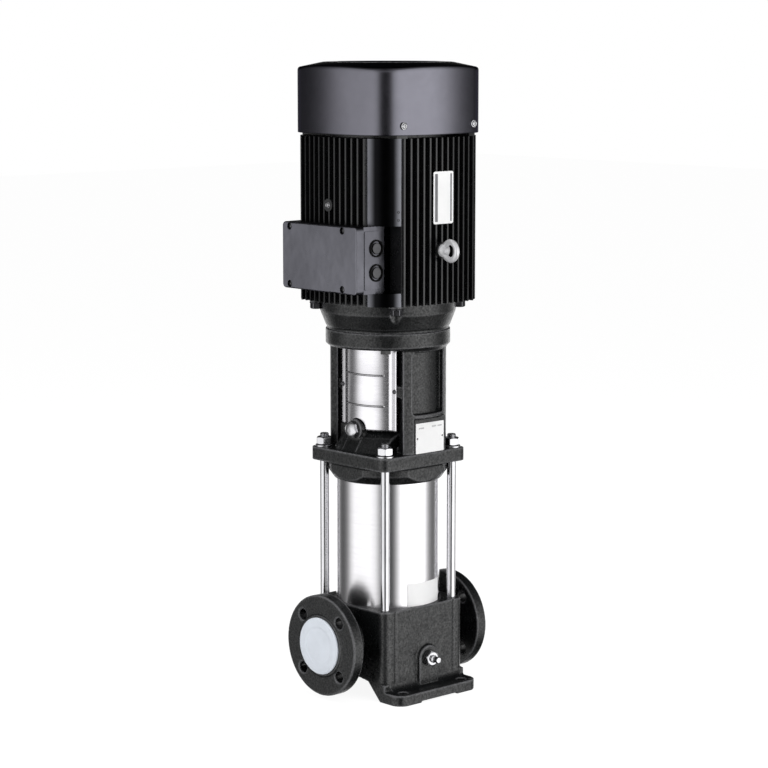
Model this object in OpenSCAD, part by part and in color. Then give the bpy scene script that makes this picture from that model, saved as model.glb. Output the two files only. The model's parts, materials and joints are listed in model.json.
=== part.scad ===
// Vertical multistage in-line pump with a flanged electric motor on top.
// Units are millimetres. Z is up, the floor is z = 0, the ports lie on the X axis.

/* [Base] */
// Height of the port centre line above the floor
port_height = 90; // [88:1:100]
// Distance between the two flange faces
face_to_face = 300; // [290:1:340]
// Outside diameter of each pipe flange
flange_diameter = 165; // [160:1:170]
// Thickness of each pipe flange with its raised face
flange_thickness = 22; // [18:0.5:26]
// Bolt circle of each pipe flange
flange_bolt_circle = 125; // [120:1:130]
// Diameter of the flange bolt holes
flange_hole = 18; // [14:0.5:19]
// Diameter of the flow bore in each port
port_bore = 50; // [40:1:52]
// Width of the foot along X
foot_width = 178; // [170:1:190]
// Length of the foot along Y
foot_length = 251; // [245:1:270]
// Thickness of the foot
foot_thickness = 17.5; // [14:0.5:22]
// Spacing of the foundation holes along X
foot_hole_x = 130; // [120:1:134]
// Spacing of the foundation holes along Y
foot_hole_y = 215; // [210:1:220]
// Diameter of the foundation holes
foot_hole = 14; // [10:0.5:15]
// Side of the square lower casing
casing_side = 178; // [176:1:186]
// Height of the top of the lower casing
casing_top = 148.4; // [146:0.1:150]

/* [Sleeve and head] */
// Outside diameter of the stainless sleeve
sleeve_diameter = 171.2; // [170:0.1:172]
// Wall of the stainless sleeve
sleeve_wall = 2.5; // [2:0.1:3]
// Height of the underside of the head plate
plate_bottom = 379; // [378:0.5:380]
// Height of the top of the head plate
plate_top = 401; // [399:0.5:402]
// Side of the square head plate
plate_side = 184; // [182:1:190]
// Distance of each tie rod from the centre planes
rod_offset = 73.8; // [73:0.1:75]
// Diameter of the tie rods
rod_diameter = 15; // [12:0.5:16]
// Number of pump stages
stages = 5; // [1:1:5]

/* [Motor stool] */
// Outside radius of the stool legs
stool_radius = 97; // [95:0.5:98.5]
// Height of the underside of the stool ring
ring_bottom = 571; // [568:0.5:574]
// Height of the top of the stool ring
ring_top = 598; // [596:0.5:600]
// Outside radius of the stool ring
ring_radius = 101.7; // [100:0.1:104]
// Sideways offset of the panel, the pocket and the drain boss
panel_offset = 4; // [0:0.5:5]

/* [Motor] */
// Diameter of the motor shaft end
motor_shaft_diameter = 38; // [28:1:38]
// Height of the underside of the finned frame
frame_bottom = 646; // [644:0.5:648]
// Height of the top of the finned frame
frame_top = 910; // [906:0.5:912]
// Distance of the middle of a finned face from the axis
frame_face = 127; // [124:0.5:128]
// Distance of a frame corner from the axis
frame_diagonal = 141.8; // [141:0.1:144]
// Number of cooling fins on each face
fins = 13; // [9:2:15]
// Spacing of the cooling fins
fin_pitch = 12.5; // [11:0.1:12.6]
// Thickness of a cooling fin
fin_thickness = 3; // [2:0.1:4]
// Height of the fan cowl from its lower edge to its top
cowl_height = 112.8; // [108:0.2:118]

/* [Terminal box] */
// Length of the terminal box along Y
box_length = 178; // [170:1:180]
// Height of the terminal box along Z
box_height = 106; // [100:1:110]
// Depth of the terminal box from its floor to the face of the lid
box_depth = 38.5; // [36:0.5:42]

/* [Hidden] */
$fn = 96;

// A turning piece keeps this much from the bore it turns in
running_gap = 0.05;
// Pieces that move apart keep this much between their faces
open_gap = 0.3;
eps = 0.5;

black = [0.06, 0.06, 0.065];
steel = [0.78, 0.79, 0.8];
dark_steel = [0.45, 0.46, 0.48];

// Base and ports
flange_radius = flange_diameter / 2;
bore_radius = port_bore / 2;
port_end = face_to_face / 2;
raised_face_radius = 50;
raised_face_height = 2;
neck_radius = 40;
port_neck_start = 84;
// The inlet's bolt holes are wider than the outlet's by this much
inlet_hole_play = 0.32;
foot_corner = 20;
foot_bar_inner = 77;
foot_relief = 2.5;
foot_pad_start = 40;
foot_fillet = 12;
arch_height = 31.6;
arch_half = 100;
// Outline of one half of the arch, in shares of its half width and height
arch_outline = [[-0.1, -0.001], [1, -0.001], [1, 0], [0.857, 0.35], [0.636, 0.918], [0.39, 1], [-0.1, 1]];
casing_half = casing_side / 2;
casing_corner = 14;
groove_x = 65;
groove_size = 3;
cavity_radius = 78;
cavity_floor = 54;
boss_radius = 40;
boss_top = 128;
boss_bore = 30;
suction_wall = 7;
suction_floor = port_height - bore_radius;
rod_hole_floor = 118;

// Plugs share one thread, hexagon and washer
plug_thread_radius = 9;
plug_thread_length = 11;
plug_passage_radius = 6;
hex_width = 24;
plug_hex_height = 7.5;
washer_radius = 14;
washer_height = 1.5;
drain_height = 61.4;
drain_boss_radius = 21;
drain_face = 96;
drain_screw_radius = 3;
drain_screw_head = 6.5;
drain_screw_head_length = 13;
priming_rise = 35.7;
priming_height = plate_top + priming_rise;
priming_face = 75;
priming_boss_radius = 17;

// Sleeve, seal rings and their seats
sleeve_radius = sleeve_diameter / 2;
sleeve_inner = sleeve_radius - sleeve_wall;
sleeve_gap = 0.3;
sleeve_bottom = 139;
sleeve_top = 364;
spigot_radius = sleeve_inner - sleeve_gap;
seal_ring_section = 1.5;
seal_groove_width = 3.4;
lower_seal_height = 143.5;
upper_seal_height = 358;

// Head
head_cavity_top = 386;
collar_radius = 97.6;
collar_bottom_radius = 88;
collar_bottom = 352;
collar_cone_top = 366;
collar_half = 90;
plate_corner = 14;
dome_foot_radius = 88;
dome_shoulder_radius = 72;
dome_shoulder = 425;
dome_top_radius = 48;
dome_cone_top = 446;
dome_top = 452;
dome_flat = 58;
seal_chamber_radius = 27;
seal_chamber_top = 444;
gland_spigot_radius = 22;
rib_thickness = 7;
rib_top = 64;

// Tie rods
rod_radius = rod_diameter / 2;
rod_top = 423;
rod_clearance = 0.8;
rod_washer_radius = 15;
rod_washer_height = 3;
rod_nut_height = 13;

// Stages
stage_height = 45;
stack_bottom = 134;
stack_top = stack_bottom + stages * stage_height;
chamber_radius = 72;
chamber_wall = 2.5;
chamber_floor = 3;
chamber_gap = 0.2;
guide_disc_bottom = 26;
guide_disc_thickness = 3;
guide_disc_radius = 64;
guide_vanes = 8;
impeller_radius = 60;
impeller_bottom = 5;
impeller_shroud = 2;
impeller_height = 13;
impeller_vanes = 6;
impeller_hub_top = 24;
eye_radius = 21;
eye_inner = 17.5;
ring_seat_radius = 25;
hub_radius = 12;
vane_arc = 36;
vane_thickness = 1.8;
shaft_radius = 8;
pump_shaft_bottom = 118;
pump_shaft_top = 512;

// Shaft seal
gland_radius = 40;
gland_height = 7;
gland_screw_circle = 33;
gland_screw_radius = 3;
seat_radius = 16;
seat_bottom = 434;
seat_top = 441;
face_gap = 0.1;
seal_ring_bottom = 428;
bellows_bottom = 406;
seal_collar_bottom = 398;
seal_face_inner = 9.5;

// Coupling
coupling_bottom = 470;
coupling_top = 567;
coupling_radius = 36;
coupling_split = 0.5;
coupling_screw_x = 27;
coupling_screw_radius = 4;
coupling_head_radius = 6.5;
coupling_head_seat = 14;
coupling_head_height = 8;
coupling_levels = [484, 552];
pin_radius = 3;
pin_rise = 28;
pin_height = coupling_bottom + pin_rise;
pin_half = 15;

// Stool
stool_inner = 84;
leg_start = 62;
leg_end = 126;
leg_flange_inner = 70;
leg_flange_starts = [leg_start, 114];
leg_flange_angle = 4;
pocket_radius = 88;
pocket_offset = 6;
pocket_half = 36;
pocket_bottom = 465;
pocket_corner = 6;
pocket_top = ring_bottom - 4;
panel_face = 91;
stool_panel_offset = 8;
panel_top = 459;
stool_foot_y = 59;
stool_foot_half = 36;
stool_foot_height = 10;
stool_screw_x = 24;
stool_screw_y = 72;
stool_screw_radius = 4;
stool_screw_head = 6.5;
stool_screw_head_height = 8;
stool_screw_depth = 14;
ring_inner = 58;
spigot_hole_radius = 65;
spigot_height = 3.5;
ring_bolt_circle = 165;
ring_bolt_radius = 5;
ring_bolt_hex = 16;
ring_bolt_head = 6.4;

// Guards
guard_plane = 42;
guard_sheet = 1.2;
guard_radius = 68;
guard_edge = 67;
guard_bottom = 436.5;
guard_bulge_edge = 52;
guard_bead = 1.2;
guard_beads = [477, 527];
guard_notch_radius = priming_boss_radius + 1.5;
guard_screw_y = 62.5;
guard_screw_z = 502.1;
guard_screw_radius = 2;
guard_screw_head = 4;
lug_depth = 12;
lug_half = 9;

// Motor shields, frame, stator and rotor
shield_flange_radius = 99.6;
shield_cone_bottom = 603;
shield_cone_top = 628;
shield_radius = 110.7;
shield_web_top = 612;
shield_hub_radius = 50;
bearing_outer = 40;
bearing_bore = 20;
bearing_width = 18;
lower_bearing = 622;
upper_bearing = 892;
race_outer_inner = 34;
race_inner_outer = 26;
ball_radius = 3.9;
balls = 9;
frame_bore = 97;
spigot_in_frame = 6;
spigot_wall = 6;
shield_bolt_circle = 234;
shield_bolt_turn = 54;
shield_bolt_radius = 6;
shield_bolt_hex = 17;
shield_bolt_head = 11;
shield_lug_radius = 11;
shield_lug_height = 5;
shield_bolt_depth = 20;
fin_depth = 11.3;
frame_corner = 58;
frame_wall = 6;
fin_span = (fins - 1) * fin_pitch;
corner_start = fin_span / 2;
fin_arch = 425;
frame_half = (frame_diagonal - frame_corner) / sqrt(2) + frame_corner;
shell_radius = frame_half - fin_depth;
corner_closing = 24;
core_bottom = 710;
core_top = 850;
core_bore = 52;
slots = 24;
slot_width = 6;
slot_end = 76;
coil_gap = 0.4;
coil_overhang = 21;
coil_inner = 56;
coil_outer = 79;
air_gap = 0.6;
rotor_shaft_radius = 24;
end_ring_height = 12;
shaft_clearance = 0.6;
fan_shaft_radius = 17;
fan_shaft_top = 985;
fan_rise = 25;
fan_hub_height = 45;

// Cowl
cowl_face = 127.5;
cowl_corner = 58;
cowl_drop = 10.5;
cowl_diagonal = (cowl_face - cowl_corner) * sqrt(2) + cowl_corner - cowl_drop;
cowl_arch = squircle_arch(cowl_face, cowl_diagonal, cowl_corner);
cowl_wall = 2;
cowl_rise = 4.7;
cowl_bottom = frame_top + cowl_rise;
overall_height = cowl_bottom + cowl_height;
cowl_crown = 8.8;
cowl_shoulder = overall_height - cowl_crown;
cowl_flat_radius = 104;
grille_radius = 80;
grille_rings = 6;
grille_gap = 6;
grille_spokes = 6;
spoke_width = 5;
cowl_screw_x = 76;
cowl_screw_z = cowl_bottom + 15;
cowl_screw_radius = 3;
cowl_screw_head = 6;
cowl_tab_half = 9;
cowl_seat = cowl_face - cowl_arch + sqrt(pow(cowl_arch, 2) - pow(cowl_screw_x - cowl_screw_head, 2)) + 0.1;
tab_inner = cowl_seat - 12.4;
tab_gap = 0.3;
shield_disc_radius = 104;
shield_disc_height = 8;

// Terminal box
box_low = 667.5;
box_high = box_low + box_height;
box_front = box_length / 2;
lid_depth = 15;
lid_wall = 3;
lid_corner = 7;
box_wall = 4;
box_back = 90;
box_floor = shell_radius + 4;
box_reach = box_floor + box_depth;
pocket_floor = 94;
pocket_start = 62;
notch_depth = 77;
entry_x = 108;
entry_levels = [700.6, 739];
entry_radius = 12.5;
entry_flange = 14;
cable_hole_radius = 13;
cable_hole_z = 690;
lid_screw_y = [-55, 72];
lid_screw_inset = 6.8;
lid_screw_radius = 2.5;
lid_screw_head = 4.6;
lid_screw_recess = 5.5;
lid_screw_recess_depth = 5;
block_half = 32;
block_low = 705;
block_high = 750;
block_height = 14;
stud_radius = 2.5;

// Small parts on the motor
eye_z = 732;
eye_collar_radius = 11;
eye_seat = 129;
eye_boss_radius = 13;
eye_ring_major = 14;
eye_ring_minor = 4.6;
eye_ring_y = 150;
eye_shank_radius = 6;
eye_shank_length = 14;
earth_y = 2;
earth_z = 803;
earth_boss_radius = 10;
earth_boss_face = 127.5;
earth_screw_radius = 3;
screw_clearance = 0.2;
earth_screw_head = 5;
label_thickness = 0.6;
label_gap = 0.1;
motor_label_offset = 2;
motor_label_width = 43;
motor_label_low = 774;
motor_label_high = 857;
stool_label_width = 62;
stool_label_low = 401.6;
stool_label_high = 451;
sleeve_label_angle = 25;
sleeve_label_low = 149;
sleeve_label_high = 187;

// Shared shapes
module tube(outer, inner, low, high) {
    translate([0, 0, low])
        difference() {
            cylinder(r = outer, h = high - low);
            translate([0, 0, -eps])
                cylinder(r = inner, h = high - low + 2 * eps);
        }
}

module disc(radius, low, high) {
    translate([0, 0, low])
        cylinder(r = radius, h = high - low);
}

module hexagon(width, low, high) {
    translate([0, 0, low])
        cylinder(d = width / cos(30), h = high - low, $fn = 6);
}

module box(low, high) {
    translate(low)
        cube(high - low);
}

module rounded_rectangle(x, y, radius) {
    square([x - 2 * radius, y], center = true);
    square([x, y - 2 * radius], center = true);
    for (i = [-1, 1])
        for (j = [-1, 1])
            translate([i * (x / 2 - radius), j * (y / 2 - radius)])
                circle(r = radius);
}

// Points local +Z along -Y, so that a plug or screw enters the front face
module on_front(x, y, z) {
    translate([x, y, z])
        rotate([90, 0, 0])
            children();
}

// Points local +Z along -X
module on_left(x, y, z) {
    translate([x, y, z])
        rotate([0, -90, 0])
            children();
}

module at_four_corners(x, y) {
    for (i = [-1, 1])
        for (j = [-1, 1])
            translate([i * x, j * y, 0])
                children();
}

// A square with round corners and slightly arched sides
// Radius of the shallow arch in each face of a squircle
function squircle_arch(face, diagonal, corner) = let (c = (diagonal - corner) / sqrt(2))
    ((face - c) * (face - c) + c * c - corner * corner) / (2 * (face - c - corner));

module squircle(face, diagonal, corner) {
    c = (diagonal - corner) / sqrt(2);
    arch = squircle_arch(face, diagonal, corner);
    slope = c / (arch - face + c);
    square(2 * c, center = true);
    for (q = [0:3])
        rotate(90 * q) {
            translate([c, c])
                circle(r = corner);
            intersection() {
                translate([face - arch, 0])
                    circle(r = arch);
                polygon([[0, -(arch - face) * slope], [face + 5, -(arch + 5) * slope],
                    [face + 5, (arch + 5) * slope], [0, (arch - face) * slope]]);
            }
        }
}

module screw(radius, length, head_radius, head_height) {
    translate([0, 0, -length])
        cylinder(r = radius, h = length + 0.5);
    cylinder(r = head_radius, h = head_height);
}

module hex_screw(radius, length, width, head_height) {
    translate([0, 0, -length])
        cylinder(r = radius, h = length + 0.5);
    hexagon(width, 0, head_height);
}

// Base
module foot() {
    difference() {
        union() {
            linear_extrude(foot_thickness)
                rounded_rectangle(foot_width, foot_length, foot_corner);
            box([-casing_half, -casing_half, foot_thickness - eps],
                [casing_half, casing_half, foot_thickness + foot_fillet]);
            for (s = [-1, 1])
                box([-casing_half + foot_fillet, min(s * casing_half, s * (casing_half + foot_fillet)),
                    foot_thickness - eps], [casing_half - foot_fillet,
                    max(s * casing_half, s * (casing_half + foot_fillet)), foot_thickness + foot_fillet]);
        }
        for (s = [-1, 1])
            translate([-foot_width, s * (casing_half + foot_fillet), foot_thickness + foot_fillet])
                rotate([0, 90, 0])
                    cylinder(r = foot_fillet, h = 2 * foot_width);
    }
}

module port(hole) {
    rotate([0, 90, 0]) {
        disc(neck_radius, port_neck_start, port_end - flange_thickness + eps);
        difference() {
            disc(flange_radius, port_end - flange_thickness, port_end - raised_face_height);
            for (q = [0:3])
                rotate(45 + 90 * q)
                    translate([flange_bolt_circle / 2, 0, 0])
                        disc(hole / 2, port_end - flange_thickness - eps, port_end);
        }
        disc(raised_face_radius, port_end - raised_face_height - eps, port_end);
    }
}

module base_casing() {
    color(black)
    difference() {
        union() {
            foot();
            translate([0, 0, foot_thickness - eps])
                linear_extrude(casing_top - foot_thickness + eps)
                    rounded_rectangle(casing_side, casing_side, casing_corner);
            for (s = [0, 180])
                translate([0, 0, port_height])
                    rotate(s)
                        port(flange_hole + s / 180 * inlet_hole_play);
            on_front(panel_offset, -casing_half + 4, drain_height)
                cylinder(r = drain_boss_radius, h = drain_face - casing_half + 4);
            box([panel_offset - drain_boss_radius, -drain_face, foot_thickness - eps],
                [panel_offset + drain_boss_radius, -casing_half + 4, drain_height]);
        }
        // Discharge space round the suction boss and its tunnel
        difference() {
            disc(cavity_radius, cavity_floor, casing_top + eps);
            disc(boss_radius, cavity_floor - eps, boss_top);
            translate([-port_end, 0, port_height])
                rotate([0, 90, 0])
                    cylinder(r = bore_radius + suction_wall, h = port_end);
        }
        translate([-port_end - eps, 0, port_height])
            rotate([0, 90, 0])
                cylinder(r = bore_radius, h = port_end + eps);
        disc(boss_bore, suction_floor, boss_top + eps);
        translate([cavity_radius / 2 + eps, 0, port_height])
            rotate([0, 90, 0])
                cylinder(r = bore_radius, h = port_end - cavity_radius / 2);
        // Seat of the sleeve and groove of its seal ring
        tube(sleeve_radius + sleeve_gap, spigot_radius, sleeve_bottom, casing_top + eps);
        tube(spigot_radius + eps, spigot_radius - 2 * seal_ring_section,
            lower_seal_height - seal_groove_width / 2, lower_seal_height + seal_groove_width / 2);
        // Tie rod holes, foundation holes and the drain
        at_four_corners(rod_offset, rod_offset)
            disc(rod_radius, rod_hole_floor, casing_top + eps);
        at_four_corners(foot_hole_x / 2, foot_hole_y / 2)
            disc(foot_hole / 2, -eps, foot_thickness + eps);
        on_front(panel_offset, -drain_face + plug_thread_length + 1, drain_height)
            cylinder(r = plug_thread_radius, h = plug_thread_length + 1 + eps);
        on_front(panel_offset, -cavity_radius + 10, drain_height)
            cylinder(r = plug_passage_radius, h = drain_face - cavity_radius);
        // Arch below the casing and relief between the four foot pads
        rotate([90, 0, 90])
            translate([0, 0, -arch_half])
                linear_extrude(2 * arch_half)
                    for (m = [0, 1])
                        mirror([m, 0])
                            polygon([for (p = arch_outline) [foot_bar_inner * p[0], arch_height * p[1]]]);
        box([-foot_pad_start, -foot_length, -eps], [foot_pad_start, foot_length, foot_relief]);
        // Grooves beside the corner columns
        for (i = [-1, 1])
            for (j = [-1, 1])
                translate([i * groove_x, j * casing_half, foot_thickness + foot_fillet])
                    rotate(45)
                        translate([-groove_size / 2, -groove_size / 2, 0])
                            cube([groove_size, groove_size, casing_top]);
    }
}

module plug(bore) {
    difference() {
        union() {
            translate([0, 0, -plug_thread_length])
                cylinder(r = plug_thread_radius - running_gap, h = plug_thread_length + 3);
            hexagon(hex_width, washer_height + 2 * open_gap, washer_height + 2 * open_gap + plug_hex_height);
        }
        if (bore > 0)
            translate([0, 0, -plug_thread_length - eps])
                cylinder(r = bore, h = plug_thread_length + 30);
    }
}

module drain_plug() {
    color(steel)
    on_front(panel_offset, -drain_face, drain_height)
        plug(drain_screw_radius + running_gap);
}

module drain_screw() {
    seat = washer_height + 3 * open_gap + plug_hex_height;
    color(steel)
    on_front(panel_offset, -drain_face, drain_height) {
        translate([0, 0, -plug_thread_length])
            cylinder(r = drain_screw_radius, h = plug_thread_length + seat + 1);
        disc(drain_screw_head, seat, seat + drain_screw_head_length);
    }
}

module plug_washer() {
    tube(washer_radius, plug_thread_radius + open_gap, 0, washer_height);
}

module plug_washers() {
    color(dark_steel) {
        on_front(panel_offset, -drain_face, drain_height)
            plug_washer();
        on_left(-priming_face, 0, priming_height)
            plug_washer();
    }
}

module port_cap() {
    cap_radius = 46.5;
    cap_height = 3;
    cap_skirt = 12;
    translate([0, 0, port_height])
        rotate([0, 90, 0]) {
            disc(cap_radius, port_end + open_gap, port_end + open_gap + cap_height);
            tube(bore_radius - open_gap, bore_radius - open_gap - 2, port_end - cap_skirt,
                port_end + open_gap + eps);
        }
}

module inlet_cap() {
    color([0.9, 0.93, 0.96])
    rotate(180)
        port_cap();
}

module outlet_cap() {
    color([0.9, 0.93, 0.96])
        port_cap();
}

// Sleeve
module outer_sleeve() {
    color(steel)
        tube(sleeve_radius, sleeve_inner, sleeve_bottom, sleeve_top);
}

module sleeve_seals() {
    color([0.08, 0.08, 0.08])
    for (z = [lower_seal_height, upper_seal_height])
        translate([0, 0, z])
            rotate_extrude()
                translate([spigot_radius - seal_ring_section, 0])
                    circle(r = seal_ring_section - 0.1);
}

// Stages
module curved_vane(inner, outer, low, high) {
    intersection() {
        tube(outer, inner, low, high);
        translate([0, vane_arc, 0])
            tube(vane_arc + vane_thickness / 2, vane_arc - vane_thickness / 2, low - eps, high + eps);
        box([0, -outer, low - eps], [outer, outer, high + eps]);
    }
}

module inlet_guide() {
    color(steel)
    difference() {
        union() {
            disc(chamber_radius, boss_top, stack_bottom);
            disc(boss_bore - open_gap, boss_top - 6, stack_bottom);
        }
        disc(ring_seat_radius, boss_top - 7, stack_bottom + eps);
    }
}

module stage_chamber() {
    difference() {
        disc(chamber_radius, 0, chamber_floor);
        disc(ring_seat_radius, -eps, chamber_floor + eps);
    }
    tube(chamber_radius, chamber_radius - chamber_wall, 0, stage_height - chamber_gap);
    tube(guide_disc_radius, hub_radius + open_gap, guide_disc_bottom,
        guide_disc_bottom + guide_disc_thickness);
    for (i = [0:guide_vanes - 1])
        rotate(360 / guide_vanes * i)
            mirror([0, 1, 0])
                curved_vane(ring_seat_radius + 4, chamber_radius - 1, guide_disc_bottom + 1,
                    stage_height - 2 * chamber_gap);
}

module stage_chambers() {
    color([0.7, 0.71, 0.73])
    for (i = [0:stages - 1])
        translate([0, 0, stack_bottom + i * stage_height])
            stage_chamber();
}

module neck_rings() {
    color([0.3, 0.25, 0.2])
    for (i = [0:stages - 1])
        translate([0, 0, stack_bottom + i * stage_height])
            tube(ring_seat_radius, eye_radius + running_gap, 0, chamber_floor);
}

module top_chamber() {
    color([0.7, 0.71, 0.73])
    difference() {
        tube(chamber_radius, eye_radius + 18, stack_top, head_cavity_top);
        for (i = [0:7])
            rotate(45 * i)
                box([40, -14, stack_top + 4], [chamber_radius + 2, 14, head_cavity_top - 8]);
    }
}

module impeller() {
    top = impeller_bottom + impeller_height;
    tube(impeller_radius, eye_inner, impeller_bottom, impeller_bottom + impeller_shroud);
    tube(eye_radius, eye_inner, 0, impeller_bottom + 1);
    tube(impeller_radius, shaft_radius, top - impeller_shroud, top);
    tube(hub_radius, shaft_radius, impeller_bottom - 1, impeller_hub_top);
    for (i = [0:impeller_vanes - 1])
        rotate(360 / impeller_vanes * i)
            curved_vane(hub_radius - 1, impeller_radius - 0.5, impeller_bottom + 1, top - 1);
}

module impellers() {
    color([0.75, 0.76, 0.77])
    for (i = [0:stages - 1])
        translate([0, 0, stack_bottom + i * stage_height])
            impeller();
}

module impeller_spacers() {
    color(steel)
    for (i = [0:stages - 1]) {
        low = stack_bottom + i * stage_height + impeller_hub_top;
        next = low + stage_height - impeller_hub_top + impeller_bottom - 1;
        top = i == stages - 1 ? seal_collar_bottom : next;
        tube(hub_radius, shaft_radius, low, top);
    }
}

module pump_shaft() {
    color(steel)
    difference() {
        disc(shaft_radius, pump_shaft_bottom, pump_shaft_top);
        translate([0, 0, pin_height])
            rotate([0, 90, 0])
                translate([0, 0, -shaft_radius - eps])
                    cylinder(r = pin_radius, h = 2 * (shaft_radius + eps));
    }
}

module shaft_nut() {
    color(steel)
    difference() {
        hexagon(hex_width, pump_shaft_bottom + 4, stack_bottom + impeller_bottom - 1);
        disc(shaft_radius, pump_shaft_bottom, stack_bottom + impeller_bottom);
    }
}

// Head
module pump_head() {
    color(black)
    difference() {
        union() {
            translate([0, 0, plate_bottom])
                linear_extrude(plate_top - plate_bottom)
                    rounded_rectangle(plate_side, plate_side, plate_corner);
            intersection() {
                union() {
                    disc(collar_radius, collar_cone_top, plate_bottom + eps);
                    translate([0, 0, collar_bottom])
                        cylinder(r1 = collar_bottom_radius, r2 = collar_radius,
                            h = collar_cone_top - collar_bottom);
                }
                box([-collar_half, -collar_half, collar_bottom],
                    [collar_half, collar_half, plate_bottom + eps]);
            }
            intersection() {
                union() {
                    translate([0, 0, plate_top])
                        cylinder(r1 = dome_foot_radius, r2 = dome_shoulder_radius,
                            h = dome_shoulder - plate_top);
                    translate([0, 0, dome_shoulder])
                        cylinder(r1 = dome_shoulder_radius, r2 = dome_top_radius,
                            h = dome_cone_top - dome_shoulder);
                    disc(dome_top_radius, dome_cone_top, dome_top);
                }
                box([-dome_foot_radius, -dome_flat, plate_top - eps],
                    [dome_foot_radius, dome_flat, dome_top]);
            }
            on_left(-dome_top_radius + 8, 0, priming_height)
                cylinder(r = priming_boss_radius, h = priming_face - dome_top_radius + 8);
            // Webs below the priming boss
            for (s = [-1, 1])
                translate([0, s * (priming_boss_radius - rib_thickness / 2) + rib_thickness / 2, 0])
                    rotate([90, 0, 0])
                        linear_extrude(rib_thickness)
                            polygon([[-rib_top, priming_height], [-dome_foot_radius, plate_top],
                                [-40, plate_top], [-40, priming_height]]);
        }
        disc(cavity_radius, collar_bottom - eps, head_cavity_top);
        disc(seal_chamber_radius, head_cavity_top - eps, seal_chamber_top);
        disc(gland_spigot_radius, seal_chamber_top - eps, dome_top + eps);
        tube(sleeve_radius + sleeve_gap, spigot_radius, collar_bottom - eps, sleeve_top);
        tube(spigot_radius + eps, spigot_radius - 2 * seal_ring_section,
            upper_seal_height - seal_groove_width / 2, upper_seal_height + seal_groove_width / 2);
        at_four_corners(rod_offset, rod_offset)
            disc(rod_radius + rod_clearance, collar_bottom - eps, plate_top + eps);
        on_left(-priming_face + plug_thread_length + 1, 0, priming_height)
            cylinder(r = plug_thread_radius, h = plug_thread_length + 1 + eps);
        on_left(-seal_chamber_radius + 2, 0, priming_height)
            cylinder(r = plug_passage_radius, h = priming_face - seal_chamber_radius);
        for (i = [0:3])
            rotate(45 + 90 * i)
                translate([gland_screw_circle, 0, dome_top - 14])
                    cylinder(r = gland_screw_radius, h = 14 + eps);
        at_four_corners(stool_screw_x, stool_screw_y)
            disc(stool_screw_radius, plate_top - stool_screw_depth, plate_top + eps);
    }
}

module priming_plug() {
    color(steel)
    on_left(-priming_face, 0, priming_height)
        plug(0);
}

module tie_rods() {
    color(steel)
    at_four_corners(rod_offset, rod_offset) {
        disc(rod_radius, rod_hole_floor, rod_top - 1.5);
        translate([0, 0, rod_top - 1.5])
            cylinder(r1 = rod_radius, r2 = rod_radius - 1.5, h = 1.5);
    }
}

module rod_nuts() {
    low = plate_top + rod_washer_height;
    color(steel)
    at_four_corners(rod_offset, rod_offset)
        difference() {
            hexagon(hex_width, low, low + rod_nut_height);
            disc(rod_radius, low - eps, low + rod_nut_height + eps);
        }
}

module rod_washers() {
    color(steel)
    at_four_corners(rod_offset, rod_offset)
        tube(rod_washer_radius, rod_radius + rod_clearance, plate_top, plate_top + rod_washer_height);
}

// Shaft seal
module seal_gland() {
    color(steel)
    difference() {
        union() {
            disc(gland_radius, dome_top, dome_top + gland_height);
            disc(gland_spigot_radius, seat_top - 3, dome_top + eps);
        }
        disc(seal_face_inner, seat_top - 4, dome_top + gland_height + eps);
        disc(seat_radius, seat_top - 3 - eps, seat_top);
        for (i = [0:3])
            rotate(45 + 90 * i)
                translate([gland_screw_circle, 0, 0])
                    disc(gland_screw_radius, dome_top - eps, dome_top + gland_height + eps);
    }
}

module gland_screws() {
    color(dark_steel)
    for (i = [0:3])
        rotate(45 + 90 * i)
            translate([gland_screw_circle, 0, dome_top + gland_height])
                screw(gland_screw_radius, gland_height + 12, 5, 5);
}

module seal_seat() {
    color([0.35, 0.35, 0.37])
        tube(seat_radius, seal_face_inner, seat_bottom, seat_top);
}

module seal_ring() {
    color([0.12, 0.12, 0.13])
        tube(seat_radius - 1, seal_face_inner - 1, seal_ring_bottom, seat_bottom - face_gap);
}

module seal_bellows() {
    folds = 4;
    fold = (seal_ring_bottom - bellows_bottom) / folds;
    color([0.1, 0.1, 0.1]) {
        tube(shaft_radius + 3, shaft_radius, bellows_bottom, seal_ring_bottom);
        for (i = [0:folds - 1])
            tube(seat_radius - 2, shaft_radius + 2,
                bellows_bottom + i * fold, bellows_bottom + (i + 0.5) * fold);
        tube(seal_face_inner, shaft_radius, seal_ring_bottom - 1, seal_ring_bottom);
    }
}

module seal_collar() {
    color(steel)
        tube(seat_radius, shaft_radius, seal_collar_bottom, bellows_bottom);
}

// Coupling
module coupling_half() {
    difference() {
        intersection() {
            disc(coupling_radius, coupling_bottom, coupling_top);
            box([-coupling_radius, -coupling_radius, coupling_bottom],
                [coupling_radius, -coupling_split, coupling_top]);
        }
        disc(shaft_radius, coupling_bottom - eps, pump_shaft_top + 3);
        disc(motor_shaft_diameter / 2, pump_shaft_top + 3, coupling_top + eps);
        translate([-pin_half, 0, pin_height])
            rotate([0, 90, 0])
                cylinder(r = pin_radius, h = 2 * pin_half);
        for (x = [-coupling_screw_x, coupling_screw_x])
            for (z = coupling_levels)
                on_front(x, 0, z)
                    cylinder(r = coupling_screw_radius, h = coupling_radius);
    }
}

module coupling_front() {
    color(dark_steel)
    difference() {
        coupling_half();
        for (x = [-coupling_screw_x, coupling_screw_x])
            for (z = coupling_levels)
                on_front(x, -coupling_head_seat, z)
                    cylinder(r = coupling_head_radius + open_gap, h = coupling_radius);
    }
}

module coupling_rear() {
    color(dark_steel)
    mirror([0, 1, 0])
        coupling_half();
}

module coupling_screws() {
    color([0.2, 0.2, 0.21])
    for (x = [-coupling_screw_x, coupling_screw_x])
        for (z = coupling_levels)
            on_front(x, -coupling_head_seat, z)
                screw(coupling_screw_radius, 2 * coupling_head_seat,
                    coupling_head_radius, coupling_head_height);
}

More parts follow.
